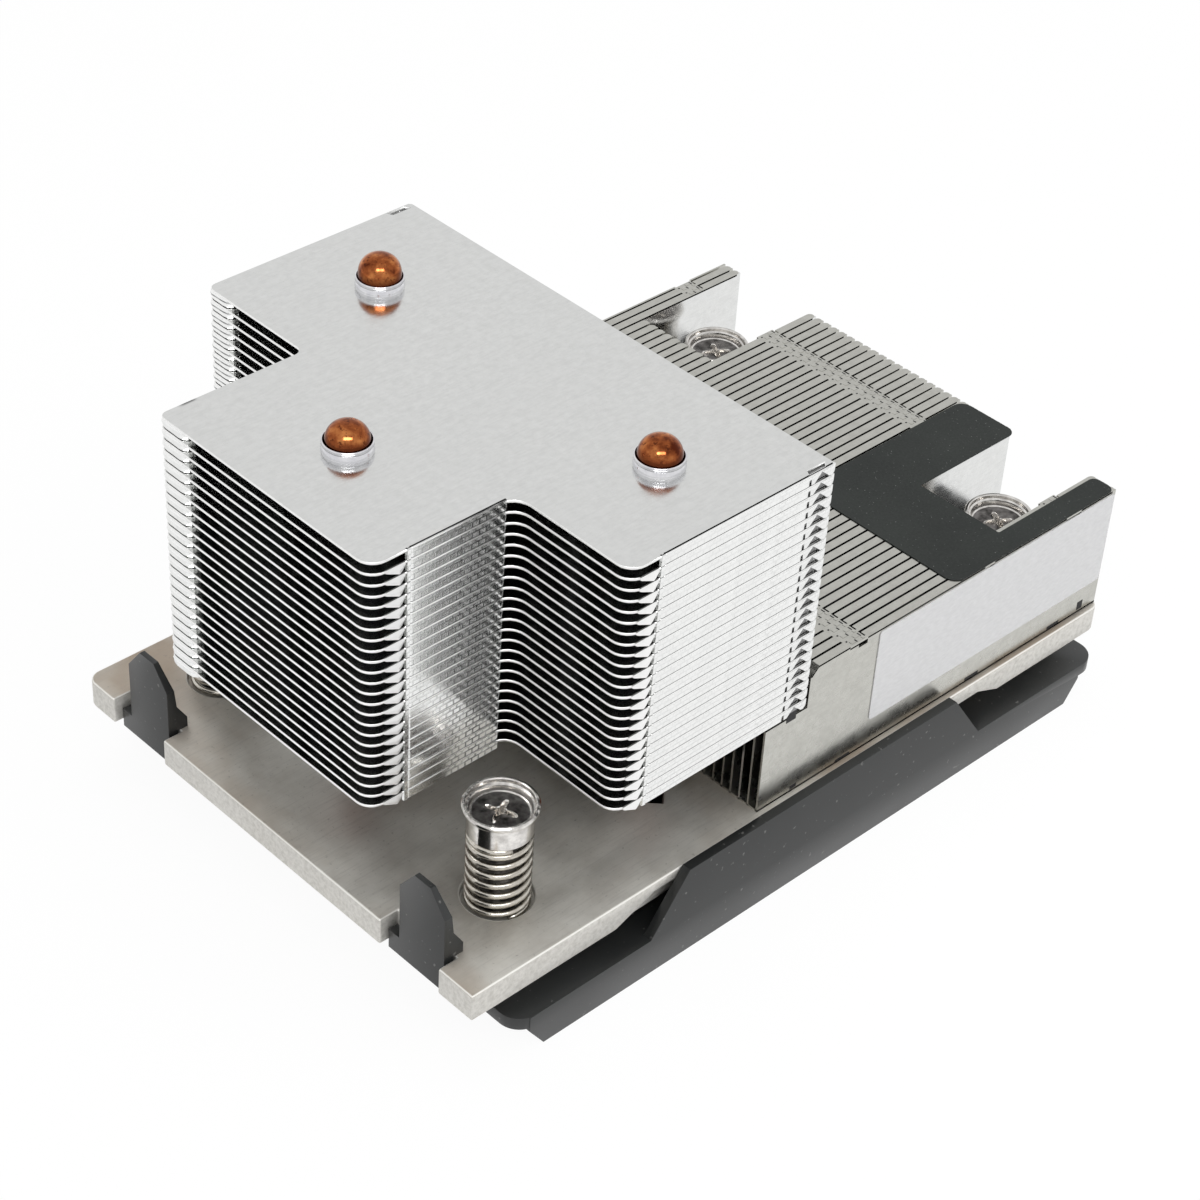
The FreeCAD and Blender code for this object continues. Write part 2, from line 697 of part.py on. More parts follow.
# Captive screws, springs and retaining rings
def make_screw(name, x, y):
    """Threaded tip, neck for the clip, shank and a turned cup-shaped head with a flared rim."""
    screw = new_body(f"screw_{name}", x, y)
    neck_top = f"({PLATE_BOTTOM} + neck_clearance)"
    neck_bottom = f"({CLIP_BOTTOM} - neck_clearance)"
    head = new_sketch(screw, f"Head_{name}", "XZ_Plane")
    draw_loop(
        head,
        [
            ("0", HEAD_BOTTOM),
            ("head_band_diameter / 2", HEAD_BOTTOM),
            ("head_band_diameter / 2", f"{HEAD_TOP} - head_rim_height"),
            ("head_rim_diameter / 2", HEAD_TOP),
            ("head_recess_diameter / 2", HEAD_TOP),
            ("head_recess_diameter / 2", f"{HEAD_TOP} - head_recess_depth"),
            ("0", f"{HEAD_TOP} - head_recess_depth"),
        ],
    )
    turning = screw.newObject("PartDesign::Revolution", f"HeadTurning_{name}")
    turning.Profile = head
    turning.ReferenceAxis = (head, ["V_Axis"])
    turning.Angle = 360
    doc.recompute()
    shank = new_sketch(screw, f"Shank_{name}", "XY_Plane", neck_top)
    draw_polygon(shank, "0", "0", "shank_diameter / 2", HOLE_SIDES)
    add_pad(screw, f"ShankPad_{name}", shank, f"{HEAD_BOTTOM} - {neck_top}")
    neck = new_sketch(screw, f"Neck_{name}", "XY_Plane", neck_bottom)
    draw_polygon(neck, "0", "0", "neck_diameter / 2", HOLE_SIDES)
    add_pad(screw, f"NeckPad_{name}", neck, f"{neck_top} - {neck_bottom}")
    tip = new_sketch(screw, f"Tip_{name}", "XY_Plane", "-tip_reach")
    draw_circle(tip, "0", "0", "thread_diameter / 2")
    add_pad(screw, f"TipPad_{name}", tip, f"{neck_bottom} + tip_reach")
    drive = new_sketch(screw, f"Drive_{name}", "XY_Plane", f"{HEAD_TOP} - head_recess_depth")
    half = "drive_width / 2"
    draw_box(drive, f"-{half}", half, f"-{half}", half)
    cut_pocket(screw, f"DrivePocket_{name}", drive, "drive_depth")


def make_spring(name, x, y):
    """A helix of square-section steps between the seat in the plate and the head."""
    wire = value("wire_diameter")
    middle = (value("spring_diameter") - wire) / 2
    low = value(SPRING_SEAT) + wire / 2
    high = value(HEAD_BOTTOM) - wire / 2
    steps = SPRING_TURNS * SPRING_SIDES
    sections = []
    for step in range(steps + 1):
        angle = 2 * math.pi * step / SPRING_SIDES
        level = low + (high - low) * step / steps
        section = []
        for out, up in ((-1, -1), (1, -1), (1, 1), (-1, 1)):
            radius = middle + out * wire / 2
            section.append(Vector(radius * math.cos(angle), radius * math.sin(angle), level + up * wire / 2))
        sections.append(section)
    faces = [Part.Face(Part.makePolygon(end + end[:1])) for end in (sections[0], sections[-1])]
    for here, there in zip(sections, sections[1:]):
        for side in range(4):
            following = (side + 1) % 4
            corners = (here[side], here[following], there[following], there[side])
            if side % 2:
                faces.append(Part.Face(Part.makePolygon(corners + corners[:1])))
                continue
            for ends in ((corners[0], corners[1], corners[2]), (corners[0], corners[2], corners[3])):
                faces.append(Part.Face(Part.makePolygon(ends + ends[:1])))
    spring = doc.addObject("Part::Feature", f"spring_{name}")
    solid = Part.Solid(Part.Shell(faces))
    if solid.Volume < 0:
        solid.reverse()
    spring.Shape = solid
    spring.Placement = Placement(Vector(value(x), value(y), 0), Rotation())
    keep(spring, f"spring_{name}")


def make_retaining_ring(name, x, y):
    clip = new_body(f"retaining_ring_{name}", x, y)
    ring = new_sketch(clip, f"Ring_{name}", "XY_Plane", CLIP_BOTTOM)
    draw_polygon(ring, "0", "0", "clip_diameter / 2", RING_SIDES)
    draw_polygon(ring, "0", "0", "neck_diameter / 2 + clip_clearance", HOLE_SIDES)
    add_pad(clip, f"RingPad_{name}", ring, "clip_thickness")
    mouth = new_sketch(clip, f"Mouth_{name}", "XY_Plane", PLATE_BOTTOM)
    draw_box(mouth, "0", "clip_diameter", "-clip_mouth / 2", "clip_mouth / 2")
    cut_pocket(clip, f"MouthPocket_{name}", mouth, "clip_thickness")


# Protective tray
def tongue_lines():
    """Outer and inner faces of a sprung tongue, and where its swept root leaves them."""
    outer = "(-plate_front_reach + tongue_inset)"
    inner = f"({outer} + tongue_wall)"
    outer_foot = f"{TRAY_BOTTOM} + {TRAY_FRONT} - {outer}"
    inner_foot = f"({PLATE_BOTTOM} - tongue_clearance)"
    return outer, inner, outer_foot, inner_foot


def root_corners():
    """The swept root from the floor's front edge up to the inner face of the tongue."""
    _, inner, _, inner_foot = tongue_lines()
    return [
        (TRAY_FRONT, TRAY_BOTTOM),
        (f"{TRAY_FRONT} + floor_overlap", TRAY_BOTTOM),
        (f"{TRAY_FRONT} + floor_overlap", TRAY_TOP),
        (f"{inner} + {inner_foot} - {TRAY_TOP}", TRAY_TOP),
        (inner, inner_foot),
    ]


def add_tongues(tray, side, sign):
    """A sprung tongue that stands in a notch of the plate and hooks over its top face."""
    outer, inner, outer_foot, _ = tongue_lines()
    middle = f"({sign}{NOTCH_Y} - tongue_offset)"
    profile = new_sketch(tray, f"Tongue{side}", "XZ_Plane", f"tongue_width / 2 - {middle}")
    draw_loop(
        profile,
        root_corners()
        + [
            (inner, PLATE_TOP),
            (f"{inner} + barb_reach", PLATE_TOP),
            (f"{inner} + barb_reach", f"{PLATE_TOP} + barb_nose"),
            (inner, f"{PLATE_TOP} + barb_height"),
            (f"{outer} + tongue_tip_wall", f"{PLATE_TOP} + tongue_height"),
            (outer, f"{PLATE_TOP} + tongue_height"),
            (outer, outer_foot),
        ],
    )
    add_pad(tray, f"TonguePad{side}", profile, "tongue_width", down=True)
    root = new_sketch(tray, f"TongueRoot{side}", "XZ_Plane", f"root_width / 2 - {sign}{NOTCH_Y}")
    shoulder = f"{PLATE_TOP} - root_drop"
    draw_loop(root, root_corners() + [(inner, shoulder), (outer, shoulder), (outer, outer_foot)])
    add_pad(tray, f"TongueRootPad{side}", root, "root_width", down=True)

    tips = new_sketch(tray, f"TongueTips{side}", "YZ_Plane", f"{inner} + barb_reach")
    top = f"{PLATE_TOP} + tongue_height"
    for edge, step in ((f"{middle} - tongue_width / 2", "+"), (f"{middle} + tongue_width / 2", "-")):
        draw_loop(tips, [(edge, f"{top} - tongue_corner_drop"), (f"{edge} {step} tongue_corner_run", top), (edge, top)])
    cut_pocket(tray, f"TongueTipPockets{side}", tips, "tongue_wall + barb_reach")


def add_hook(tray, side, sign):
    """A short rigid hook over the far edge of the plate, inside a screw notch of the stack."""
    profile = new_sketch(tray, f"Hook{side}", "XZ_Plane", f"hook_width / 2 - {sign}{NOTCH_Y}")
    inner = f"({PLATE_REAR} + tray_side_gap)"
    draw_loop(
        profile,
        [
            (f"{TRAY_REAR} - floor_overlap", TRAY_BOTTOM),
            (f"{inner} + hook_wall", TRAY_BOTTOM),
            (f"{inner} + hook_wall", f"{PLATE_TOP} + hook_height"),
            (inner, f"{PLATE_TOP} + hook_height"),
            (f"{PLATE_REAR} - hook_reach", f"{PLATE_TOP} + hook_nose"),
            (f"{PLATE_REAR} - hook_reach", PLATE_TOP),
            (inner, PLATE_TOP),
            (inner, TRAY_TOP),
            (f"{TRAY_REAR} - floor_overlap", TRAY_TOP),
        ],
    )
    add_pad(tray, f"HookPad{side}", profile, "hook_width", down=True)


def make_tray():
    tray = new_body("protective_tray")
    floor = new_sketch(tray, "TrayFloor", "XY_Plane", TRAY_BOTTOM)
    draw_box(floor, TRAY_FRONT, TRAY_REAR, f"-{TRAY_HALF}", TRAY_HALF)
    slab = add_pad(tray, "TraySlab", floor, "tray_floor")
    doc.recompute()
    corners = [(x, f"{s}{TRAY_HALF}") for x in (TRAY_FRONT, TRAY_REAR) for s in ("-", "")]
    dress(tray, "Fillet", "TrayCorners", slab, upright_edges(slab.Shape, corners), "tray_corner", "Radius")

    for side, lift in (("Right", f"{TRAY_HALF} - tray_wall"), ("Left", f"-{TRAY_HALF}")):
        wall = new_sketch(tray, f"SideWall{side}", "XZ_Plane", lift)
        draw_loop(
            wall,
            [
                (SKIRT_FRONT, SKIRT_BOTTOM),
                (SKIRT_REAR, SKIRT_BOTTOM),
                (f"{SKIRT_REAR} + skirt_slope_run", f"{SKIRT_BOTTOM} + skirt_slope_rise"),
                (f"{SKIRT_REAR} + skirt_slope_run", TRAY_TOP),
                ("guard_foot_half", TRAY_TOP),
                ("guard_top_half", f"{PLATE_TOP} + guard_rise"),
                ("-guard_top_half", f"{PLATE_TOP} + guard_rise"),
                ("-guard_foot_half", TRAY_TOP),
                (f"{SKIRT_FRONT} - skirt_slope_run", TRAY_TOP),
                (f"{SKIRT_FRONT} - skirt_slope_run", f"{SKIRT_BOTTOM} + skirt_slope_rise"),
            ],
        )
        add_pad(tray, f"SideWallPad{side}", wall, "tray_wall")

    holes = new_sketch(tray, "TipHoles", "XY_Plane", TRAY_TOP)
    for _, x, y in four_screws():
        draw_polygon(holes, x, y, "tray_hole_diameter / 2", HOLE_SIDES)
    cut_pocket(tray, "TipHolePockets", holes, "tray_floor")
    for side, sign in (("Right", "-"), ("Left", "")):
        add_tongues(tray, side, sign)
        add_hook(tray, side, sign)


make_base_plate()
make_contact_pad()
for route in pipe_routes():
    make_heat_pipe(*route)
make_tower()
make_lower_fin_stack()
make_film()
make_label()
for corner in four_screws():
    make_screw(*corner)
    make_spring(*corner)
    make_retaining_ring(*corner)
make_tray()
doc.recompute()

for item in doc.Objects:
    if "Invalid" in item.State or "Error" in item.State:
        raise ValueError(f"{item.Label} did not recompute: {item.State}")
for node in nodes:
    if node.Shape.isNull() or not node.Shape.isValid():
        raise ValueError(f"{node.Label} has no valid shape")

os.makedirs("parts", exist_ok=True)
for node in nodes:
    node.Shape.exportStep(f"parts/{node.Label}.step")
    box = node.Shape.BoundBox
    print(
        node.Label,
        len(node.Shape.Solids),
        f"{box.XMin:.2f} {box.XMax:.2f} {box.YMin:.2f} {box.YMax:.2f} {box.ZMin:.2f} {box.ZMax:.2f}",
    )
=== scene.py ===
import math

import bmesh
import bpy
from mathutils import Euler, Matrix, Vector


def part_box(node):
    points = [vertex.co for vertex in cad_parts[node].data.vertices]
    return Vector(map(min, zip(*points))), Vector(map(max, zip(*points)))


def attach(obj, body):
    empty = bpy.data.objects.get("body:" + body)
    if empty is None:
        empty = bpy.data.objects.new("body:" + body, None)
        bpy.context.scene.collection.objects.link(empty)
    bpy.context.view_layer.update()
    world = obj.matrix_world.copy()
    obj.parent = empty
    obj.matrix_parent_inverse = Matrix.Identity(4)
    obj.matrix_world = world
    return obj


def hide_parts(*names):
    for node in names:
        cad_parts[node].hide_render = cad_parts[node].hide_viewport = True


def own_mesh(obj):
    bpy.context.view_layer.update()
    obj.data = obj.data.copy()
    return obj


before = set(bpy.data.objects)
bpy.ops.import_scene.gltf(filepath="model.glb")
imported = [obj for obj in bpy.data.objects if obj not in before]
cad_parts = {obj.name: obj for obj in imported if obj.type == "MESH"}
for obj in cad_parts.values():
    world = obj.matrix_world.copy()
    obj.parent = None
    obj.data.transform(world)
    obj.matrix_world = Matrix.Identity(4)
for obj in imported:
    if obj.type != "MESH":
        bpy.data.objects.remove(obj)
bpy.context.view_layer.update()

# Passive processor heatsink, dressed for its portrait. Lengths are millimetres in the frame of the solids,
# and meshes are written in metres. In the materials, noise is per metre, and bumps and dashes are metres.

MM = 0.001
ROOT = "heatsink"
CORNERS = ("front_right", "front_left", "rear_right", "rear_left")
FIN_COUNT = 24
STACK_FINS = 49
SHEET = 0.3


def node_box(node):
    """Lowest and highest corners of a node in millimetres."""
    low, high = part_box(node)
    return Vector(low) / MM, Vector(high) / MM


# Measures taken from the solids
PLATE_TOP = node_box("base_plate")[1].z
TRAY_BOTTOM = node_box("protective_tray")[0].z
FIN_LOW, FIN_HIGH = node_box("tower_fin_01")
FIN_PITCH = node_box("tower_fin_02")[1].z - FIN_HIGH.z
TOWER_TOP = FIN_HIGH.z + (FIN_COUNT - 1) * FIN_PITCH
STACK_LOW, STACK_HIGH = node_box("lower_fin_stack")
STACK_PITCH = (STACK_HIGH.y - STACK_LOW.y - SHEET) / (STACK_FINS - 1)

# Plan of a tower fin, and each pipe's centre and the turn of its leg in degrees
STEM_HALF = 19.8
BAR_FRONT = -38.9
BAR_HALF = FIN_HIGH.y
PIPES = {"front": (-48.0, 0.0, 0.0), "left": (-21.3, 25.9, -45.0), "right": (-21.3, -25.9, 45.0)}
PIPE_RADIUS = 3.0

# Lower stack: the step ahead of it, the two notches for screws and the rows of zippers
STEP_X = STACK_LOW.x + 7.7
STEP_TOP = PLATE_TOP + 13.9
STACK_CHAMFER = 1.4
NOTCH_X = 37.95
NOTCH_INNER = 20.5
NOTCH_OUTER = 34.7
ZIPPERS = (6.0, 49.9)

# Fineness of round shapes, and the angles in degrees that count as flat and as sharp on the solids
ARC_STEPS = 6
TURNED_SIDES = 64
SAME_POINT = 0.0005
SAME_POINT_ON_SOLID = 0.002
FLAT_ANGLE = 1
SHARP_ANGLE = 30


# Building meshes
def write_mesh(name, bm):
    """A mesh in metres from a form in millimetres."""
    bmesh.ops.recalc_face_normals(bm, faces=bm.faces)
    bmesh.ops.scale(bm, vec=(MM, MM, MM), verts=bm.verts)
    mesh = bpy.data.meshes.new(name)
    bm.to_mesh(mesh)
    bm.free()
    return mesh


def dress(thing, looks, body=ROOT, node=None):
    """Gives an object its materials and lets it ride on a body, in place of a node where one is named."""
    bpy.context.collection.objects.link(thing)
    for look in looks:
        thing.data.materials.append(look)
    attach(thing, body)
    if node:
        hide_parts(node)
    return thing


def finish_mesh(name, bm, looks, body=ROOT, node=None, smooth=False):
    """Turns a form into an object and lets it ride."""
    mesh = write_mesh(name, bm)
    for polygon in mesh.polygons:
        polygon.use_smooth = smooth
    return dress(bpy.data.objects.new(name, mesh), looks, body, node)


def loft(bm, rings, caps=True):
    """Quads between closed rings of points, with the two ends closed where caps are wanted."""
    rows = [[bm.verts.new(point) for point in ring] for ring in rings]
    count = len(rows[0])
    for low, high in zip(rows, rows[1:]):
        for index in range(count):
            after = (index + 1) % count
            bm.faces.new((low[index], low[after], high[after], high[index]))
    if caps:
        bm.faces.new(list(reversed(rows[0])))
        bm.faces.new(rows[-1])
    return rows


def prism(bm, outline, low, high, axis="z"):
    """An outline of x and y pushed along z, or an outline of x and z pushed along y."""
    def at(point, level):
        return (point[0], level, point[1]) if axis == "y" else (*point, level)

    loft(bm, [[at(point, low) for point in outline], [at(point, high) for point in outline]])


def block(bm, x0, x1, y0, y1, z0, z1):
    prism(bm, [(x0, y0), (x1, y0), (x1, y1), (x0, y1)], z0, z1)


def circle_points(x, y, radius, count=40):
    turns = [2 * math.pi * step / count for step in range(count)]
    return [(x + radius * math.cos(turn), y + radius * math.sin(turn)) for turn in turns]


def rounded(corners):
    """An outline whose corners, given as x, y and radius, are arcs."""
    points = []
    for index, (x, y, radius) in enumerate(corners):
        here = Vector((x, y))
        before = Vector(corners[index - 1][:2]) - here
        after = Vector(corners[(index + 1) % len(corners)][:2]) - here
        if radius <= 0:
            points.append((x, y))
            continue
        half = before.angle(after) / 2
        reach = radius / math.tan(half)
        start = here + before.normalized() * reach
        end = here + after.normalized() * reach
        middle = (before.normalized() + after.normalized()).normalized()
        centre = here + middle * (radius / math.sin(half))
        first = math.atan2(start.y - centre.y, start.x - centre.x)
        turn = math.atan2(end.y - centre.y, end.x - centre.x) - first
        turn = (turn + math.pi) % (2 * math.pi) - math.pi
        for step in range(ARC_STEPS + 1):
            angle = first + turn * step / ARC_STEPS
            points.append((centre.x + radius * math.cos(angle), centre.y + radius * math.sin(angle)))
    return points


def corner_arc(before, corner, after, radius):
    """The points of one rounded corner between two straight edges."""
    return rounded([(*before, 0), (*corner, radius), (*after, 0)])[1:-1]


def flat_sheet(bm, outlines, low, high, edge):
    """A sheet with holes and slightly broken edges, from outlines in plan."""
    curve = bpy.data.curves.new("sheet_outline", "CURVE")
    curve.dimensions = "2D"
    curve.fill_mode = "BOTH"
    curve.extrude = (high - low) / 2 - edge
    curve.bevel_depth = edge
    curve.bevel_resolution = 0
    curve.offset = -edge
    for outline in outlines:
        spline = curve.splines.new("POLY")
        spline.points.add(len(outline) - 1)
        spline.use_cyclic_u = True
        for point, (x, y) in zip(spline.points, outline):
            point.co = (x, y, 0, 1)
    holder = bpy.data.objects.new("sheet_outline", curve)
    mesh = bpy.data.meshes.new_from_object(holder)
    mesh.transform(Matrix.Translation((0, 0, (low + high) / 2)))
    bm.from_mesh(mesh)
    bpy.data.objects.remove(holder)
    bpy.data.curves.remove(curve)
    bpy.data.meshes.remove(mesh)


def lathe(bm, profile, x, y):
    """A profile of radius and height turned about a vertical axis."""
    rows = []
    for step in range(TURNED_SIDES):
        angle = 2 * math.pi * step / TURNED_SIDES
        points = [(x + r * math.cos(angle), y + r * math.sin(angle), z) for r, z in profile]
        rows.append([bm.verts.new(point) for point in points])
    for index, row in enumerate(rows):
        following = rows[(index + 1) % TURNED_SIDES]
        for step in range(len(profile) - 1):
            bm.faces.new((row[step], following[step], following[step + 1], row[step + 1]))
    bmesh.ops.remove_doubles(bm, verts=bm.verts, dist=SAME_POINT)


def paint_faces(bm, first, index):
    """Gives every face from one on the same material, and returns the number of faces so far."""
    bm.faces.ensure_lookup_table()
    for face in bm.faces[first:]:
        face.material_index = index
    return len(bm.faces)


def soft_copy(node, name, width, segments):
    """A node's own shape with its sharp edges rounded."""
    bm = bmesh.new()
    bm.from_mesh(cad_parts[node].data)
    bmesh.ops.remove_doubles(bm, verts=bm.verts, dist=SAME_POINT_ON_SOLID * MM)
    flat = math.radians(FLAT_ANGLE)
    bmesh.ops.dissolve_limit(bm, angle_limit=flat, verts=bm.verts, edges=bm.edges)
    mesh = bpy.data.meshes.new(name)
    bm.to_mesh(mesh)
    bm.free()
    for polygon in mesh.polygons:
        polygon.use_smooth = True
    thing = bpy.data.objects.new(name, mesh)
    bevel = thing.modifiers.new("SoftEdges", "BEVEL")
    bevel.width = width * MM
    bevel.segments = segments
    bevel.limit_method = "ANGLE"
    bevel.angle_limit = math.radians(SHARP_ANGLE)
    bevel.harden_normals = True
    return thing


# Materials, with the numbers of a mix node's colour sockets
MIX_FIRST, MIX_SECOND = 6, 7
MIX_RESULT = 2

# The stem's wall carries its shear marks between these distances ahead of the bar
SHEAR_BEGINS = 13.0
SHEAR_FULL = 6.0
SHEAR_ENDS = -1.0

# The darker spot at the left corner of the stem
SPOT_FRONT = (-58.5, -57.2)
SPOT_REAR = (-55.2, -56.2)
SPOT_LEFT = (19.2, 19.7)

# Levels over the tower's top between which a pipe's dome is painted darker towards its foot: painted shade,
# standing for a dark reflection
DOME_SHADE_FOOT = (2.7, 1.2)


def maths(tree, operation, first, second):
    """A node that works on two sockets or numbers."""
    node = tree.nodes.new("ShaderNodeMath")
    node.operation = operation
    for value, socket in zip((first, second), node.inputs):
        if isinstance(value, bpy.types.NodeSocket):
            tree.links.new(value, socket)
        else:
            socket.default_value = value
    return node.outputs[0]


class Paint:
    """A node material with short helpers."""

    def __init__(self, name):
        self.material = bpy.data.materials.new(name)
        self.material.use_nodes = True
        self.tree = self.material.node_tree
        self.shader = self.tree.nodes["Principled BSDF"]
        self.place = self.add("ShaderNodeTexCoord").outputs["Object"]

    def add(self, kind, **values):
        node = self.tree.nodes.new(kind)
        for key, value in values.items():
            setattr(node, key, value)
        return node

    def link(self, source, target):
        self.tree.links.new(source, target)

    def stretch(self, scale):
        """Coordinates scaled by axis, in turns per metre."""
        mapping = self.add("ShaderNodeMapping")
        mapping.inputs["Scale"].default_value = scale
        self.link(self.place, mapping.inputs["Vector"])
        return mapping.outputs["Vector"]

    def noise(self, scale, detail=3.0, rough=0.55, source=None):
        node = self.add("ShaderNodeTexNoise")
        node.inputs["Scale"].default_value = scale
        node.inputs["Detail"].default_value = detail
        node.inputs["Roughness"].default_value = rough
        self.link(source or self.place, node.inputs["Vector"])
        return node.outputs["Fac"]

    def ramp(self, source, *stops):
        """Colours by position."""
        node = self.add("ShaderNodeValToRGB")
        ramp = node.color_ramp
        while len(ramp.elements) < len(stops):
            ramp.elements.new(0.5)
        for element, (position, colour) in zip(ramp.elements, stops):
            element.position = position
            element.color = (*colour, 1.0)
        self.link(source, node.inputs["Fac"])
        return node.outputs["Color"]

    def grey(self, source, *stops):
        """Grey levels by position."""
        return self.ramp(source, *[(position, (level, level, level)) for position, level in stops])

    def mix(self, factor, first, second, kind="MIX"):
        node = self.add("ShaderNodeMix", data_type="RGBA", blend_type=kind)
        sockets = (node.inputs["Factor"], node.inputs[MIX_FIRST], node.inputs[MIX_SECOND])
        for value, socket in zip((factor, first, second), sockets):
            if isinstance(value, (tuple, float, int)):
                socket.default_value = (*value, 1.0) if isinstance(value, tuple) else value
            else:
                self.link(value, socket)
        return node.outputs[MIX_RESULT]

    def bump(self, height, strength, distance, after=None):
        node = self.add("ShaderNodeBump")
        node.inputs["Strength"].default_value = strength
        node.inputs["Distance"].default_value = distance
        self.link(height, node.inputs["Height"])
        if after:
            self.link(after, node.inputs["Normal"])
        return node.outputs["Normal"]

    def split(self, source, axis):
        """One coordinate of a vector."""
        node = self.add("ShaderNodeSeparateXYZ")
        self.link(source, node.inputs["Vector"])
        return node.outputs[axis]

    def span(self, axis, low, high):
        """0 at one place along an axis and 1 at another, smoothly, with the places in millimetres."""
        node = self.add("ShaderNodeMapRange", interpolation_type="SMOOTHSTEP")
        node.inputs["From Min"].default_value = low * MM
        node.inputs["From Max"].default_value = high * MM
        self.link(self.split(self.place, axis), node.inputs["Value"])
        return node.outputs["Result"]

    def dashes(self, width, height, line):
        """Outlines of small bricks in rows along X, seen from the side: 1 on the lines."""
        plan = self.add("ShaderNodeCombineXYZ")
        self.link(self.split(self.place, "X"), plan.inputs["X"])
        self.link(self.split(self.place, "Z"), plan.inputs["Y"])
        brick = self.add("ShaderNodeTexBrick", offset=0.5, squash=1.0)
        values = {"Scale": 1.0, "Mortar Size": line, "Mortar Smooth": 0.4, "Brick Width": width,
                  "Row Height": height}
        for name, value in values.items():
            brick.inputs[name].default_value = value
        self.link(plan.outputs["Vector"], brick.inputs["Vector"])
        return brick.outputs["Fac"]

    def shear_zone(self):
        """1 on the part of the stem's wall that runs up to the bar."""
        begin = self.span("X", BAR_FRONT - SHEAR_BEGINS, BAR_FRONT - SHEAR_FULL)
        end = self.span("X", BAR_FRONT - SHEAR_ENDS, BAR_FRONT)
        return self.mix(1.0, begin, end, "MULTIPLY")

    def dark_corner_spot(self):
        """1 on the dark spot at the stem's left corner."""
        along = self.mix(1.0, self.span("X", *SPOT_FRONT), self.span("X", *SPOT_REAR), "MULTIPLY")
        return self.mix(1.0, along, self.span("Y", *SPOT_LEFT), "MULTIPLY")

    def upward(self):
        """How much a surface faces straight up or down, from its own normal."""
        geometry = self.add("ShaderNodeNewGeometry")
        return maths(self.tree, "ABSOLUTE", self.split(geometry.outputs["Normal"], "Z"), 0.0)

    def set(self, **values):
        for key, value in values.items():
            socket = self.shader.inputs[key.replace("_", " ")]
            if isinstance(value, bpy.types.NodeSocket):
                self.link(value, socket)
            else:
                socket.default_value = value


def rolled_sheet(name, light, dark, roughness, marks=False, dark_spot_and_edge_highlight=False):
    """Bare rolled sheet: rolling lines, fine mottling and, on folded walls, rows of small shear marks."""
    paint = Paint(name)
    lines = paint.noise(1.0, 5.0, 0.6, paint.stretch((420.0, 2600.0, 2600.0)))
    mottle = paint.noise(900.0, 4.0, 0.65)
    cloud = paint.noise(45.0, 2.0, 0.5)
    tone = paint.ramp(mottle, (0.3, dark), (0.7, light))
    tone = paint.mix(paint.grey(cloud, (0.35, 0.0), (0.7, 0.35)), tone, tuple(c * 0.93 for c in light))
    tone = paint.mix(paint.grey(lines, (0.42, 0.12), (0.5, 0.0)), tone, tuple(c * 0.78 for c in dark))
    rough = paint.grey(paint.noise(260.0, 3.0), (0.3, roughness - 0.06), (0.7, roughness + 0.07))
    fine = paint.bump(lines, 0.12, 0.00004)
    if dark_spot_and_edge_highlight:
        tone = paint.mix(paint.dark_corner_spot(), tone, (0.16, 0.16, 0.16))
    if marks:
        dashes = paint.dashes(0.0011, 0.0008, 0.00013)
        share = paint.mix(paint.shear_zone(), (0.1, 0.1, 0.1), (0.85, 0.85, 0.85))
        uneven = paint.grey(paint.noise(700.0, 2.0), (0.3, 0.35), (0.6, 1.0))
        share = paint.mix(1.0, share, uneven, "MULTIPLY")
        share = paint.mix(1.0, share, dashes, "MULTIPLY")
        tone = paint.mix(share, tone, (0.05, 0.05, 0.055))
        fine = paint.bump(dashes, 0.3, 0.00006, fine)
    paint.set(Base_Color=tone, Metallic=1.0, Roughness=rough, Normal=paint.bump(mottle, 0.08, 0.00005, fine))
    return paint.material


def plate_metal():
    """Nickel finish with soft brown heat stains and brush lines, and a painted highlight on its rounded
    edges.
    """
    paint = Paint("plate_metal_look")
    brush = paint.noise(1.0, 6.0, 0.65, paint.stretch((180.0, 3000.0, 1200.0)))
    speck = paint.noise(1500.0, 5.0, 0.7)
    cloud = paint.noise(55.0, 5.0, 0.62)
    tone = paint.ramp(cloud, (0.3, (0.5, 0.475, 0.43)), (0.5, (0.66, 0.645, 0.6)),
                      (0.72, (0.77, 0.755, 0.71)))
    stain = paint.noise(30.0, 4.0, 0.6, paint.stretch((1.0, 0.6, 1.0)))
    tone = paint.mix(paint.grey(stain, (0.46, 0.0), (0.64, 0.75)), tone, (0.34, 0.255, 0.18))
    tone = paint.mix(paint.grey(speck, (0.6, 0.0), (0.7, 0.55)), tone, (0.26, 0.25, 0.23))
    tone = paint.mix(paint.grey(brush, (0.35, 0.2), (0.5, 0.0)), tone, (0.34, 0.33, 0.31))
    facing = paint.upward()
    side_tone = paint.ramp(speck, (0.3, (0.52, 0.505, 0.47)), (0.6, (0.68, 0.665, 0.63)))
    tone = paint.mix(paint.grey(facing, (0.2, 1.0), (0.3, 0.0)), tone, side_tone)
    # Painted highlight: faces between flat and upright, the rounded edges, are painted bright
    dark_spot_and_edge_highlight = paint.grey(facing, (0.3, 0.0), (0.45, 0.9), (0.85, 0.9), (0.96, 0.0))
    tone = paint.mix(dark_spot_and_edge_highlight, tone, (0.9, 0.89, 0.85))
    rough = paint.grey(paint.noise(150.0, 4.0), (0.3, 0.46), (0.7, 0.62))
    normal = paint.bump(speck, 0.22, 0.00006, paint.bump(brush, 0.14, 0.00005))
    paint.set(Base_Color=tone, Metallic=0.72, Roughness=rough, Normal=normal)
    return paint.material


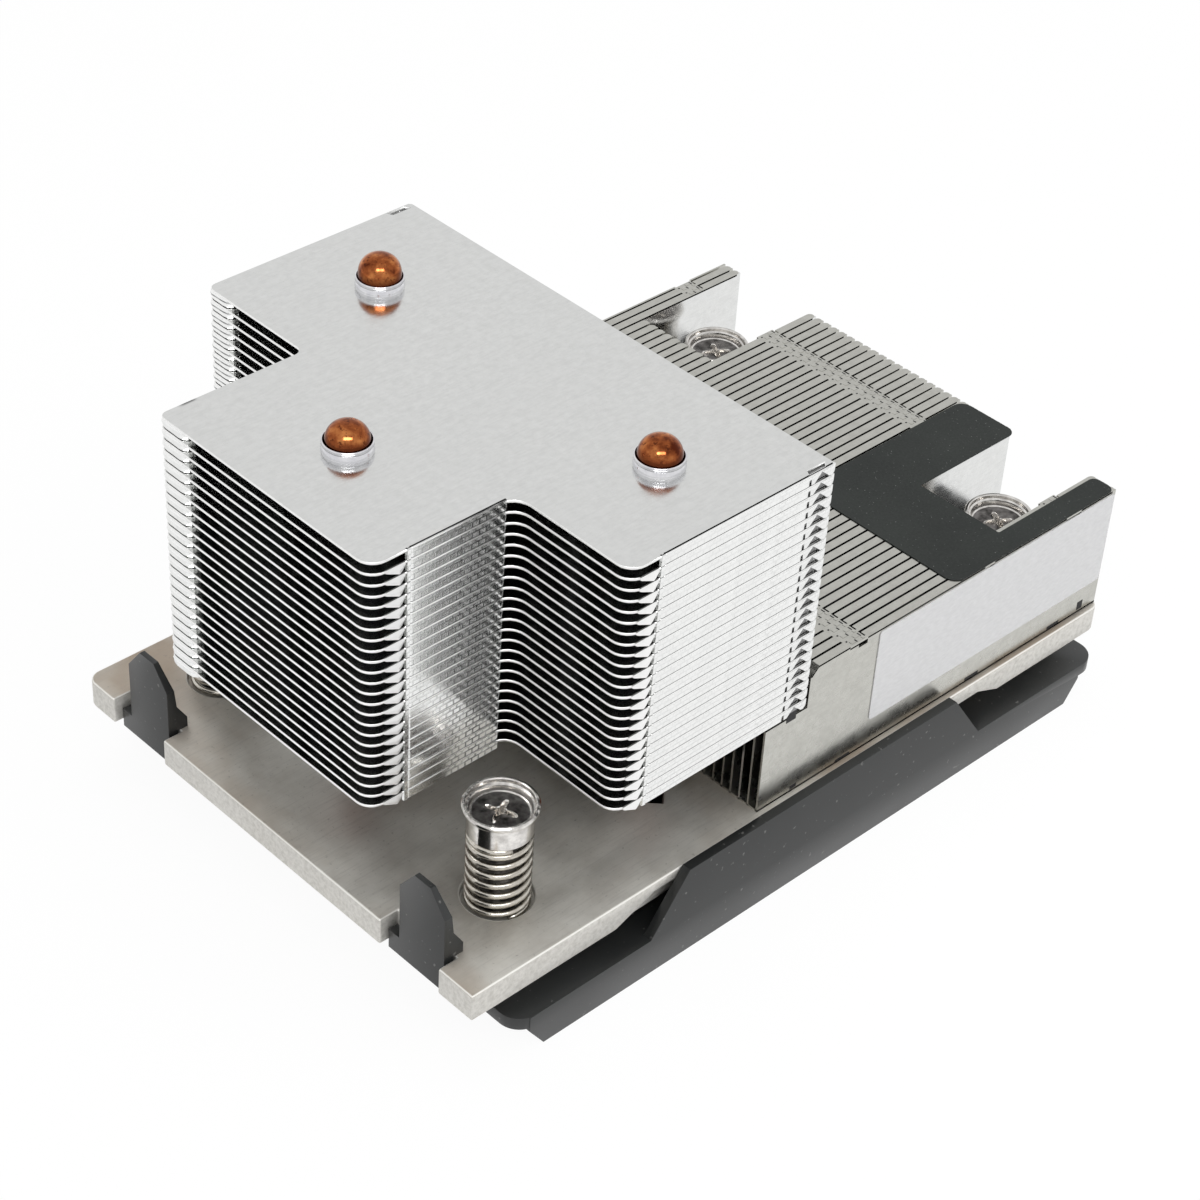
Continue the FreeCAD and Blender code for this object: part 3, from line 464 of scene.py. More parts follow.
def copper():
    """Polished copper under a darker, uneven oxide film, with painted shade towards each dome's foot."""
    paint = Paint("copper_look")
    film = paint.noise(420.0, 5.0, 0.6)
    tone = paint.ramp(film, (0.34, (0.1, 0.02, 0.008)), (0.5, (0.34, 0.095, 0.03)),
                      (0.66, (0.66, 0.25, 0.08)))
    spots = paint.noise(1700.0, 3.0, 0.6)
    tone = paint.mix(paint.grey(spots, (0.58, 0.0), (0.66, 0.8)), tone, (0.09, 0.022, 0.01))
    # Painted shade: the dome darkens towards its foot, a painted dark reflection
    foot = paint.span("Z", TOWER_TOP + DOME_SHADE_FOOT[0], TOWER_TOP + DOME_SHADE_FOOT[1])
    tone = paint.mix(foot, tone, (0.12, 0.03, 0.012))
    rough = paint.grey(paint.noise(600.0, 3.0), (0.3, 0.06), (0.7, 0.18))
    normal = paint.bump(paint.noise(500.0, 4.0), 0.25, 0.00008)
    paint.set(Base_Color=tone, Metallic=1.0, Roughness=rough, Normal=normal)
    return paint.material


def black_plastic():
    """Moulded plastic: fine grain, faint flow marks and dust specks."""
    paint = Paint("black_plastic_look")
    grain = paint.noise(2600.0, 4.0, 0.7)
    flow = paint.noise(60.0, 3.0, 0.5)
    tone = paint.ramp(flow, (0.3, (0.013, 0.014, 0.014)), (0.7, (0.02, 0.021, 0.021)))
    dust = paint.noise(1300.0, 2.0, 0.4)
    tone = paint.mix(paint.grey(dust, (0.7, 0.0), (0.78, 0.5)), tone, (0.2, 0.2, 0.19))
    rough = paint.grey(flow, (0.3, 0.28), (0.7, 0.38))
    paint.set(Base_Color=tone, Roughness=rough, Normal=paint.bump(grain, 0.12, 0.00004))
    return paint.material


def black_film():
    """Matt film with a fine orange-peel surface and light specks."""
    paint = Paint("black_film_look")
    grain = paint.noise(3200.0, 3.0, 0.6)
    cloud = paint.noise(70.0, 3.0, 0.5)
    tone = paint.ramp(cloud, (0.3, (0.011, 0.013, 0.012)), (0.7, (0.018, 0.021, 0.019)))
    speck = paint.noise(3600.0, 2.0, 0.5)
    tone = paint.mix(paint.grey(speck, (0.71, 0.0), (0.76, 0.7)), tone, (0.3, 0.31, 0.3))
    rough = paint.grey(grain, (0.3, 0.48), (0.7, 0.62))
    normal = paint.bump(grain, 0.15, 0.00003)
    paint.set(Base_Color=tone, Roughness=rough, Specular_IOR_Level=0.28, Normal=normal)
    return paint.material


def paper():
    """Plain coated paper with faint fibre and a little ageing."""
    paint = Paint("label_paper_look")
    fibre = paint.noise(1.0, 5.0, 0.6, paint.stretch((900.0, 900.0, 2400.0)))
    tone = paint.ramp(fibre, (0.3, (0.5, 0.5, 0.505)), (0.7, (0.57, 0.57, 0.575)))
    paint.set(Base_Color=tone, Roughness=0.46, Normal=paint.bump(fibre, 0.1, 0.00003))
    return paint.material


def bright_metal(name, light, dark, roughness):
    """Turned and plated steel: fine rings, small stains."""
    paint = Paint(name)
    stain = paint.noise(700.0, 4.0, 0.6)
    tone = paint.ramp(stain, (0.3, dark), (0.65, light))
    rings = paint.noise(1.0, 4.0, 0.6, paint.stretch((500.0, 500.0, 5200.0)))
    rough = paint.grey(stain, (0.3, roughness + 0.08), (0.7, roughness - 0.04))
    paint.set(Base_Color=tone, Metallic=1.0, Roughness=rough, Normal=paint.bump(rings, 0.12, 0.00003))
    return paint.material


def painted_slot_shade():
    """Painted shade: a near-black patch standing for the inside of a slot, where no light reaches."""
    paint = Paint("painted_slot_shade_look")
    tone = paint.ramp(paint.noise(900.0), (0.3, (0.006, 0.006, 0.007)), (0.7, (0.016, 0.016, 0.017)))
    paint.set(Base_Color=tone, Roughness=0.7)
    return paint.material


FIN_METAL = rolled_sheet("fin_metal_look", (0.79, 0.795, 0.785), (0.71, 0.715, 0.705), 0.15, dark_spot_and_edge_highlight=True)
# A darker copy of the fin sheet: painted shade for the backing seen through each window slot
SHADED_INNER_METAL = rolled_sheet("shaded_inner_metal_look", (0.42, 0.42, 0.42), (0.3, 0.3, 0.3), 0.5)
# A lighter copy of the fin sheet for the folded walls: painted light that makes them bright, with their real
# shear marks
LIT_WALL_METAL = rolled_sheet("lit_wall_metal_look", (0.92, 0.925, 0.915), (0.84, 0.845, 0.835), 0.17, marks=True)
# A lighter, rougher copy of the fin sheet for the sheet's edges and the flags: a painted highlight
HIGHLIT_EDGE_METAL = rolled_sheet("highlit_edge_metal_look", (0.96, 0.96, 0.95), (0.88, 0.88, 0.87), 0.42)
STACK_METAL = rolled_sheet("stack_metal_look", (0.57, 0.565, 0.525), (0.48, 0.475, 0.44), 0.27)
COLLAR_METAL = bright_metal("collar_metal_look", (0.86, 0.86, 0.88), (0.66, 0.66, 0.7), 0.1)
PLATE_METAL = plate_metal()
COPPER = copper()
BLACK_PLASTIC = black_plastic()
BLACK_FILM = black_film()
PAPER = paper()
SCREW_METAL = bright_metal("screw_metal_look", (0.84, 0.82, 0.79), (0.5, 0.48, 0.46), 0.12)
# Painted shade: a darker copy of the screw metal for the inside of the cup and the shank within the coils
SHADED_CUP_METAL = bright_metal("shaded_cup_metal_look", (0.22, 0.21, 0.205), (0.025, 0.023, 0.022), 0.34)
SPRING_METAL = bright_metal("spring_metal_look", (0.66, 0.63, 0.57), (0.46, 0.43, 0.38), 0.22)
SLOT_SHADE = painted_slot_shade()


# Tower fins: a folded wall fills the pitch but for a seam, and a left wall is tucked under its sheet
WALL_HEIGHT = FIN_PITCH - 0.09
WALL_BREAK = 0.012
BULGE_STEPS = 5
TUCK = 0.12
EDGE_SHEET = 0.38
EDGE_BREAK = 0.07
EDGE_PROUD = 0.008
HOLE_ROOM = 0.02
FACES_FLAT, FACES_WALL, FACES_EDGE, FACES_INNER = range(4)

# Where the right walls' flags start, and how far behind that the sheet and the wall go on
STEM_FLAG = FIN_LOW.x + 2.3
BAR_FLAG = BAR_FRONT + 1.7
FLAG_TO_SHEET = 3.2
FLAG_TO_WALL = 3.15

# A flag's distance from its start, depth and lean, and its section about the sheet's edge
FLAG_SHAPE = ((0.0, 0.34, 0.0), (0.25, 0.5, 0.02), (2.1, 1.34, 0.1), (2.5, 1.05, 0.06), (3.0, 0.42, 0.0))
FLAG_OUTSIDE = 0.04
FLAG_INSIDE = 0.2
FLAG_SHOULDER = 0.6

# A left wall comes out of the dark, by distance behind the front and distance gone towards its corner, and
# bulges more and more round the corner, by degrees turned
WALL_INSET = 0.13
TURN_RADIUS = 1.1
TURN_BULGES = ((0, 0.1), (22.5, 0.2), (45, 0.3), (67.5, 0.3), (90, 0.3))
LEAD_BULGE = 0.06
LEAD_IN = ((1.5, 0.0), (0.7, 0.3), (WALL_INSET + 0.12, 0.8), (WALL_INSET, 1.5))

# A right wall starts with a small curled lip and a groove, by distance behind the start and inside the face
CURLED_LIP = ((0.0, 0.25), (0.1, -0.08), (0.6, -0.1), (0.8, 0.06), (0.95, 0.0))

# The bar's walls end in a tick, a triangular window and a tooth, by distance ahead of the rear and share of
# the full depth, and the stem's end plainly
WALL_END = ((4.5, 1.0), (4.46, 0.45), (4.1, 0.45), (4.06, 1.0), (3.5, 1.0), (2.35, 0.2), (2.25, 0.2),
            (0.85, 1.0), (0.45, 1.0), (0.1, 0.85), (0.0, 0.6))
STEM_WALL_END = BAR_FRONT - 1.4

# How far ahead of its corner each left wall comes out of the dark
STEM_LEAD = 5.2
BAR_LEAD = 4.5

# The slot in each sheet over that window, by distance ahead of the rear and inside the edge, and the same of
# the backing behind the window
WINDOW_SLOT = ((4.3, 0.28), (1.5, 0.28), (0.9, 1.0), (3.9, 1.0))
BACKING_AHEAD = (4.7, 0.6)
BACKING_INSIDE = (0.4, 1.2)
BACKING_GAP = 0.05

# Corner radii of the sheet, and the cut at its rear corners
RIGHT_CORNER = 2.4
RIGHT_INNER_CORNER = 2.6
LEFT_CORNER = 1.2
REAR_CUT_X = 0.4
REAR_CUT_Y = 0.5


def wall(bm, route, top, outward):
    """A folded wall along a route of x, y, upper drop, depth and outward bulge."""
    rings = []
    for index, (x, y, drop, depth, bulge) in enumerate(route):
        before = Vector(route[max(index - 1, 0)][:2])
        after = Vector(route[min(index + 1, len(route) - 1)][:2])
        along = (after - before).normalized()
        inward = Vector((along.y, -along.x)) * outward
        upper = top - drop
        section = [(0.0, upper - WALL_BREAK), (WALL_BREAK, upper), (SHEET, upper), (SHEET, upper - depth),
                   (0.0, upper - depth)]
        for step in range(BULGE_STEPS - 1, 0, -1):
            share = step / BULGE_STEPS
            section.append((-bulge * math.sin(math.pi * share), upper - depth * share))
        rings.append([(x + inward.x * reach, y + inward.y * reach, level) for reach, level in section])
    loft(bm, rings)


def flag(bm, start, y_face, side, top):
    """The free tab ahead of a wall: it hangs from the sheet's edge and grows towards the wall."""
    rings = []
    for x, depth, lean in FLAG_SHAPE:
        outer = y_face + side * (FLAG_OUTSIDE + lean)
        inner = y_face - side * FLAG_INSIDE
        shoulder = depth * FLAG_SHOULDER
        section = [(y_face, 0.0), (outer, shoulder), (outer, depth), (inner, depth), (inner, 0.0)]
        rings.append([(start + x, y, top - drop) for y, drop in section])
    loft(bm, rings)


def left_turn(front, y, lead):
    """The start of a left wall: along the front edge and round the corner."""
    depth = WALL_HEIGHT - TUCK
    route = [(front + behind, y - lead + nearer, TUCK, depth, LEAD_BULGE) for behind, nearer in LEAD_IN]
    for degrees, bulge in TURN_BULGES:
        angle = math.radians(degrees)
        x = front + WALL_INSET + TURN_RADIUS * (1 - math.cos(angle))
        route.append((x, y - WALL_INSET - TURN_RADIUS * (1 - math.sin(angle)), TUCK, depth, bulge))
    return route


def edge_wall(side, half, front, lead, flag_start, end):
    """A side's wall: the right one starts after its flag, the left one round its corner."""
    y = side * half
    if side < 0:
        drop = 0.0
        start = flag_start + FLAG_TO_WALL
        begin = [(start + behind, y + inside, 0.0, WALL_HEIGHT, 0.0) for behind, inside in CURLED_LIP]
    else:
        drop = TUCK
        begin = left_turn(front, y, lead)
    return begin + [(x, y - drop, drop, WALL_HEIGHT * share - drop, 0.0) for x, share in end]


def fin_outline():
    """The sheet's plan, a hair proud of each wall so that its edge shows."""
    front = FIN_LOW.x
    rear = FIN_HIGH.x
    stem = STEM_HALF
    bar = BAR_HALF
    stem_start = STEM_FLAG + FLAG_TO_SHEET
    bar_start = BAR_FLAG + FLAG_TO_SHEET
    stem_edge = stem + EDGE_PROUD
    bar_edge = bar + EDGE_PROUD
    return [
        *corner_arc((front, 0), (front, -stem), (BAR_FRONT, -stem), RIGHT_CORNER),
        (stem_start, -stem), (stem_start, -stem_edge), (STEM_WALL_END, -stem_edge), (STEM_WALL_END, -stem),
        *corner_arc((front, -stem), (BAR_FRONT, -stem), (BAR_FRONT, -bar), RIGHT_INNER_CORNER)[1:],
        *corner_arc((BAR_FRONT, -stem), (BAR_FRONT, -bar), (rear, -bar), RIGHT_CORNER),
        (bar_start, -bar), (bar_start, -bar_edge),
        (rear - REAR_CUT_X, -bar_edge), (rear, REAR_CUT_Y - bar_edge),
        (rear, bar_edge - REAR_CUT_Y), (rear - REAR_CUT_X, bar_edge),
        *corner_arc((rear, bar), (BAR_FRONT, bar), (BAR_FRONT, stem), LEFT_CORNER),
        *corner_arc((BAR_FRONT, bar), (BAR_FRONT, stem), (front, stem), LEFT_CORNER),
        *corner_arc((BAR_FRONT, stem), (front, stem), (front, 0), TURN_RADIUS),
    ]


def fin_mesh(name, flags):
    """One T-shaped fin: a sheet with pipe holes and edge slots, its folded walls and any flags."""
    bm = bmesh.new()
    top = FIN_HIGH.z
    rear = FIN_HIGH.x
    outlines = [fin_outline()]
    outlines += [circle_points(x, y, PIPE_RADIUS + HOLE_ROOM) for x, y, _ in PIPES.values()]
    for side in (-1, 1):
        outlines.append([(rear - ahead, side * (BAR_HALF - inside)) for ahead, inside in WINDOW_SLOT])
    flat_sheet(bm, outlines, top - EDGE_SHEET, top, EDGE_BREAK)
    bm.normal_update()
    for face in bm.faces:
        face.material_index = FACES_EDGE if abs(face.normal.z) < 0.95 else FACES_FLAT
    done = len(bm.faces)
    stem_end = [(STEM_WALL_END, 1.0)]
    bar_end = [(rear - ahead, share) for ahead, share in WALL_END]
    for side in (-1, 1):
        wall(bm, edge_wall(side, STEM_HALF, FIN_LOW.x, STEM_LEAD, STEM_FLAG, stem_end), top, side)
        wall(bm, edge_wall(side, BAR_HALF, BAR_FRONT, BAR_LEAD, BAR_FLAG, bar_end), top, side)
    done = paint_faces(bm, done, FACES_WALL)
    # Painted shade: the backing under each window slot is a block in the darker copy of the sheet metal
    front, back = [rear - ahead for ahead in BACKING_AHEAD]
    for side in (-1, 1):
        low, high = sorted(side * (BAR_HALF - inside) for inside in BACKING_INSIDE)
        block(bm, front, back, low, high, top - WALL_HEIGHT, top - EDGE_SHEET - BACKING_GAP)
    done = paint_faces(bm, done, FACES_INNER)
    if flags:
        flag(bm, STEM_FLAG, -STEM_HALF, -1, top)
        flag(bm, BAR_FLAG, -BAR_HALF, -1, top)
    paint_faces(bm, done, FACES_EDGE)
    mesh = write_mesh(name, bm)
    for look in (FIN_METAL, LIT_WALL_METAL, HIGHLIT_EDGE_METAL, SHADED_INNER_METAL):
        mesh.materials.append(look)
    return mesh


def make_tower():
    """Twenty-four fins that share a shape, but for the top one, which has no flags."""
    common = fin_mesh("tower_fin_shape", True)
    last = fin_mesh("top_fin_shape", False)
    for number in range(1, FIN_COUNT + 1):
        name = f"tower_fin_{number:02d}"
        shape = last if number == FIN_COUNT else common
        fin = dress(bpy.data.objects.new(f"{name}_look", shape), (), ROOT, name)
        fin.location.z = (number - 1) * FIN_PITCH * MM


# A collar's profile, by distance outside the pipe and over the tower's top
COLLAR = ((0.3, -0.02), (0.24, 0.12), (0.23, 0.62), (0.1, 0.7), (0.1, 0.84), (0.22, 0.92), (0.22, 1.25),
          (0.17, 1.37), (0.06, 1.4), (0.01, 1.32), (0.01, -0.1))


def make_collars():
    """The top fin's drawn collars, each with a groove."""
    bm = bmesh.new()
    profile = [(PIPE_RADIUS + outside, TOWER_TOP + over) for outside, over in COLLAR]
    for x, y, _ in PIPES.values():
        lathe(bm, profile, x, y)
    finish_mesh("pipe_collars", bm, [COLLAR_METAL], smooth=True)


# Heat pipes: a dome slightly slimmer than the pipe and fuller than an ellipse, a bend and a flattened leg
PIPE_SIDES = 40
PIPE_BEND = 9.5
DOME_HEIGHT = 2.75
DOME_RADIUS = PIPE_RADIUS - 0.12
DOME_TIP_RADIUS = 0.08
DOME_FULL_ACROSS = 0.82
DOME_FULL_UP = 0.95
DOME_STEPS = 10
SHOULDER = 0.8
BEND_STEPS = 8
FLAT_HALF = 1.5
FLATTENING = 6.0
FLATTENING_STEPS = 6
LEG_ENDS = {"front": 61.7, "left": 25.5, "right": 25.5}


def pipe_ring(along, up, tilt, radius, flat):
    """A section of pipe about a centre: round where flat is 0, a slot with round ends where it is 1."""
    core = math.pi / 4 * PIPE_RADIUS
    points = []
    for step in range(PIPE_SIDES):
        angle = 2 * math.pi * (step + 0.5) / PIPE_SIDES
        wide = math.copysign(core, math.cos(angle)) + FLAT_HALF * math.cos(angle)
        across = radius * math.cos(angle) * (1 - flat) + wide * flat
        out = radius * math.sin(angle) * (1 - flat) + FLAT_HALF * math.sin(angle) * flat
        points.append(Vector((along + out * math.sin(tilt), across, up + out * math.cos(tilt))))
    return points


def make_pipe(name):
    """Upright with a domed end, bend and flattened leg, as one smooth skin."""
    x, y, turn = PIPES[name]
    low, high = node_box(f"heat_pipe_{name}")
    upright = math.pi / 2
    dome_foot = high.z - DOME_HEIGHT
    axis_level = low.z + PIPE_RADIUS
    flat_level = low.z + FLAT_HALF
    rings = []
    for step in range(1, DOME_STEPS + 1):
        angle = math.pi / 2 * (1 - step / DOME_STEPS)
        radius = max(DOME_TIP_RADIUS, DOME_RADIUS * math.cos(angle) ** DOME_FULL_ACROSS)
        level = dome_foot + DOME_HEIGHT * math.sin(angle) ** DOME_FULL_UP
        rings.append(pipe_ring(0, level, upright, radius, 0))
    rings.append(pipe_ring(0, dome_foot - SHOULDER, upright, PIPE_RADIUS, 0))
    for step in range(BEND_STEPS + 1):
        angle = math.pi / 2 * step / BEND_STEPS
        along = PIPE_BEND * (1 - math.cos(angle))
        up = axis_level + PIPE_BEND * (1 - math.sin(angle))
        rings.append(pipe_ring(along, up, upright - angle, PIPE_RADIUS, 0))
    for step in range(1, FLATTENING_STEPS + 1):
        share = step / FLATTENING_STEPS
        ease = share * share * (3 - 2 * share)
        level = axis_level + (flat_level - axis_level) * ease
        rings.append(pipe_ring(PIPE_BEND + FLATTENING * share, level, 0.0, PIPE_RADIUS, ease))
    rings.append(pipe_ring(LEG_ENDS[name], flat_level, 0.0, PIPE_RADIUS, 1.0))
    bm = bmesh.new()
    loft(bm, rings)
    turned = Matrix.Rotation(math.radians(turn), 3, "Z")
    bmesh.ops.rotate(bm, cent=(0, 0, 0), matrix=turned, verts=bm.verts)
    bmesh.ops.translate(bm, vec=(x, y, 0), verts=bm.verts)
    finish_mesh(f"heat_pipe_{name}_look", bm, [COPPER], ROOT, f"heat_pipe_{name}", True)


# Lower fin stack: its seams, and the joined patch at each zipper
SEAM = 0.34
FOLD_WIDTH = STACK_PITCH - SEAM
FOLD_TIP = 0.75
TIP_STEPS = 8
CHAIN_FRONT = 2.3
CHAIN_REAR = 1.0
CHAIN_ROOM = 2.0
CHAIN_HOOK = 0.25
HOOK_SHARE = 0.35
TONGUE_ROOT = 0.05
TONGUE_RISE = 0.07
TONGUE_BEVEL = 0.12
SUNK = 0.02
SLOT_SHADE_PROUD = 0.006

# A zipper's raised tabs and dark patches of painted shade for its slots, by place along, place across, length
# and breadth
TONGUES = ((-1.55, 0.25, 0.75, 0.6), (-0.35, 0.85, 0.8, 0.55), (0.45, 0.15, 0.4, 0.5))
TONGUE_SLOTS = ((-0.7, 0.2, 0.22, 0.55), (0.58, 0.75, 0.2, 0.7), (-1.9, 0.95, 0.3, 0.25))

# The stepped notches in the end webs' top edge, by middle, width and depth
WEB_NOTCHES = ((49.6, 3.2, 0.8), (31.7, 2.0, 0.6), (5.6, 3.4, 1.0))
NOTCH_STEP = 0.55

# Dark patches of painted shade for the slots in the right side, by start and end along and over the plate
SIDE_SLOTS = ((-7.3, -5.5, 13.0, 15.5), (54.6, 55.8, 0.5, 1.9), (-5.0, -3.8, 0.4, 1.0),
              (30.2, 33.0, 0.3, 0.8), (48.0, 50.6, 0.3, 0.8), (3.8, 6.6, 0.2, 0.6))
SIDE_SLOT_PROUD = 0.02
SIDE_SLOT_DEPTH = 0.05


def fold_outline(y, rear, chains):
    """The plan of one fin's top fold: a round tip, hooked seams and the joined patches of its zippers."""
    start = STEP_X + STACK_CHAMFER
    seam = y + FOLD_WIDTH
    hook = y + FOLD_WIDTH * HOOK_SHARE
    half = FOLD_WIDTH / 2
    points = [(start, y)]
    for step in range(TIP_STEPS + 1):
        angle = math.pi * step / TIP_STEPS - math.pi / 2
        points.append((rear - FOLD_TIP + FOLD_TIP * math.cos(angle), y + half + half * math.sin(angle)))
    for x in sorted(chains, reverse=True):
        back = x + CHAIN_REAR
        ahead = x - CHAIN_FRONT
        points += [(back + CHAIN_HOOK, seam), (back + CHAIN_HOOK, hook), (back, hook)]
        points += [(back, y + STACK_PITCH), (ahead, y + STACK_PITCH), (ahead, seam)]
    points.append((start, seam))
    return points


def make_zipper(bm, slot_shades, x, y, top):
    """The interlocked tongues of one fin at one zipper: raised tabs, and dark patches of painted shade for
    the slots.
    """
    levels = ((0.0, top - TONGUE_ROOT), (0.0, top + TONGUE_RISE / 2), (TONGUE_BEVEL, top + TONGUE_RISE))
    for along, across, length, breadth in TONGUES:
        rings = []
        for inset, level in levels:
            front = x + along + inset
            back = x + along + length - inset
            near = y + across + inset
            far = y + across + breadth - inset
            rings.append([(front, near, level), (back, near, level), (back, far, level), (front, far, level)])
        loft(bm, rings)
    # Painted shade: near-black patches just over the top stand for the slots
    for along, across, length, breadth in TONGUE_SLOTS:
        front = x + along
        near = y + across
        block(slot_shades, front, front + length, near, near + breadth, top - TONGUE_ROOT, top + SLOT_SHADE_PROUD)


def web_outline(rear, notched):
    """A fin's upright face, cut down at its front, with the top edge's notches where it has them."""
    base = PLATE_TOP
    top = STACK_HIGH.z - SUNK
    outline = [(STACK_LOW.x, base), (rear, base), (rear, top)]
    for x, width, depth in WEB_NOTCHES if notched else ():
        back = x + width / 2
        ahead = x - width / 2
        step = top - depth * NOTCH_STEP
        outline += [(back, top), (back, top - depth), (x, top - depth)]
        outline += [(x, step), (ahead, step), (ahead, top)]
    return outline + [(STEP_X + STACK_CHAMFER, top), (STEP_X, STACK_HIGH.z - STACK_CHAMFER),
                      (STEP_X, STEP_TOP - SUNK), (STACK_LOW.x, STEP_TOP - SUNK)]


def fin_folds(bm, y, rear, chains):
    """A fin's folds over its channel: the top, the slope, the step and the foot."""
    top = STACK_HIGH.z
    crest = STEP_X + STACK_CHAMFER
    prism(bm, fold_outline(y, rear, chains), top - SHEET, top)
    slope = [(STEP_X, top - STACK_CHAMFER), (crest, top), (crest, top - SHEET),
             (STEP_X + SHEET, top - STACK_CHAMFER)]
    prism(bm, slope, y, y + FOLD_WIDTH, "y")
    block(bm, STACK_LOW.x, STEP_X, y, y + FOLD_WIDTH, STEP_TOP - SHEET, STEP_TOP)
    block(bm, STACK_LOW.x, rear, y, y + STACK_PITCH, PLATE_TOP, PLATE_TOP + SHEET)


def make_stack():
    """Forty-nine folded fins, each with its own web, its top and bottom folds and its zipper tongues."""
    bm = bmesh.new()
    slot_shades = bmesh.new()
    for index in range(STACK_FINS):
        y = STACK_LOW.y + index * STACK_PITCH
        off_middle = abs(y + SHEET / 2)
        short = NOTCH_INNER < off_middle < NOTCH_OUTER
        rear = NOTCH_X if short else STACK_HIGH.x
        last = index == STACK_FINS - 1
        before = len(bm.faces)
        prism(bm, web_outline(rear, index == 0 or last), y, y + SHEET, "y")
        if not short and NOTCH_INNER - STACK_PITCH < off_middle < NOTCH_OUTER + STACK_PITCH:
            paint_faces(bm, before, 1)
        if last:
            continue
        chains = [x for x in ZIPPERS if x < rear - CHAIN_ROOM]
        fin_folds(bm, y, rear, chains)
        for x in chains:
            make_zipper(bm, slot_shades, x, y, STACK_HIGH.z)
    looks = [STACK_METAL, FIN_METAL]
    finish_mesh("lower_fin_stack_look", bm, looks, node="lower_fin_stack")
    # Painted shade: near-black patches just proud of the right side stand for its slots
    outer = STACK_LOW.y - SIDE_SLOT_PROUD
    inner = STACK_LOW.y + SIDE_SLOT_DEPTH
    for x0, x1, z0, z1 in SIDE_SLOTS:
        block(slot_shades, x0, x1, outer, inner, PLATE_TOP + z0, PLATE_TOP + z1)
    finish_mesh("stack_slot_shades", slot_shades, [SLOT_SHADE])


# Screws, each profile by radius and height: over the tip, in the frame and under the head's top
TIP_RADIUS = 0.9
TIP_PROFILE = ((TIP_RADIUS, 0.0), (1.55, 0.0), (2.0, 0.5))
GROOVE_PROFILE = ((2.0, 1.1), (1.6, 1.15), (1.6, 1.85), (2.3, 1.9))
CUP_DEPTH = 1.55
CUP_RADIUS = 2.5
HEAD_PROFILE = ((2.3, 4.3), (4.15, 4.3), (4.3, 4.15), (4.3, 1.25), (4.5, 0.95), (4.85, 0.75), (4.95, 0.5),
                (4.92, 0.2), (4.75, 0.02), (4.5, 0.0), (4.35, 0.12), (4.25, 0.5), (4.0, 0.62), (3.9, 0.8),
                (3.8, CUP_DEPTH - 0.12), (3.6, CUP_DEPTH), (CUP_RADIUS, CUP_DEPTH))
CREASE_ANGLE = 32

# The faces painted darker, as painted shade: inside the cup, between these heights over its floor, and below
# the head, in the coils
CUP_LEVELS = (-2.0, 0.15)
COILS_UNDER = 4.35

# The star-shaped drive: height over the cup's floor, and the size of its core and points
DRIVE_SIDES = 48
DRIVE_CORE = 0.8
DRIVE_POINTS = 4
DRIVE_SHARPNESS = 2.2
DRIVE = ((0.0, 1.0, 1.55), (0.22, 0.94, 1.4), (0.1, 0.8, 1.3), (-0.6, 0.66, 1.15), (-1.4, 0.4, 0.8))
DRIVE_TURNS = {"front": 25, "rear": 60}


def screw_place(corner):
    low, high = node_box(f"screw_{corner}")
    return (low.x + high.x) / 2, (low.y + high.y) / 2, low.z, high.z


def drive_ring(x, y, level, core, reach, turn):
    """A star-shaped outline round a screw's axis."""
    ring = []
    for step in range(DRIVE_SIDES):
        angle = 2 * math.pi * step / DRIVE_SIDES
        wave = 0.5 + 0.5 * math.cos(DRIVE_POINTS * (angle - turn))
        radius = core * DRIVE_CORE + reach * wave ** DRIVE_SHARPNESS
        ring.append((x + radius * math.cos(angle), y + radius * math.sin(angle), level))
    return ring


def make_screw(corner):
    """Cup-shaped head with a rolled rim and a star-shaped drive, shank and plain tip."""
    x, y, low, high = screw_place(corner)
    floor = high - CUP_DEPTH
    profile = [(radius, low + over) for radius, over in TIP_PROFILE]
    profile += GROOVE_PROFILE
    profile += [(radius, high - under) for radius, under in HEAD_PROFILE]
    bm = bmesh.new()
    lathe(bm, profile, x, y)
    turn = math.radians(DRIVE_TURNS[corner.split("_")[0]])
    drive = [drive_ring(x, y, floor + over, core, reach, turn) for over, core, reach in DRIVE]
    rows = loft(bm, drive, caps=False)
    bm.faces.new(rows[-1])
    cup = [(*point, floor) for point in circle_points(x, y, CUP_RADIUS, DRIVE_SIDES)]
    loft(bm, [cup, drive[0]], caps=False)
    bm.faces.new([bm.verts.new((*point, low)) for point in circle_points(x, y, TIP_RADIUS, DRIVE_SIDES)])
    bmesh.ops.remove_doubles(bm, verts=bm.verts, dist=SAME_POINT)
    for face in bm.faces:
        level = face.calc_center_median().z
        in_cup = CUP_LEVELS[0] < level - floor < CUP_LEVELS[1] and abs(face.normal.z) > 0.9
        in_coils = PLATE_TOP < level < high - COILS_UNDER
        face.material_index = 1 if in_cup or in_coils else 0
    name = f"screw_{corner}"
    screw = finish_mesh(f"{name}_look", bm, [SCREW_METAL, SHADED_CUP_METAL], name, name, True)
    crease_by_angle(screw, CREASE_ANGLE)


def crease_by_angle(thing, degrees):
    """Smooth shading with sharp edges kept where faces turn by more than the angle."""
    bm = bmesh.new()
    bm.from_mesh(thing.data)
    for edge in bm.edges:
        edge.smooth = len(edge.link_faces) == 2 and edge.calc_face_angle(0) < math.radians(degrees)
    bm.to_mesh(thing.data)
    bm.free()


# Springs
WIRE = 0.43
WIRE_SIDES = 12
COIL_RADIUS = 3.87
COIL_TURNS = 8.0
COIL_STEPS = 26
CLOSED_TURNS = 1.05
COIL_STARTS = {"front": 250, "rear": 40}
UP = Vector((0, 0, 1))


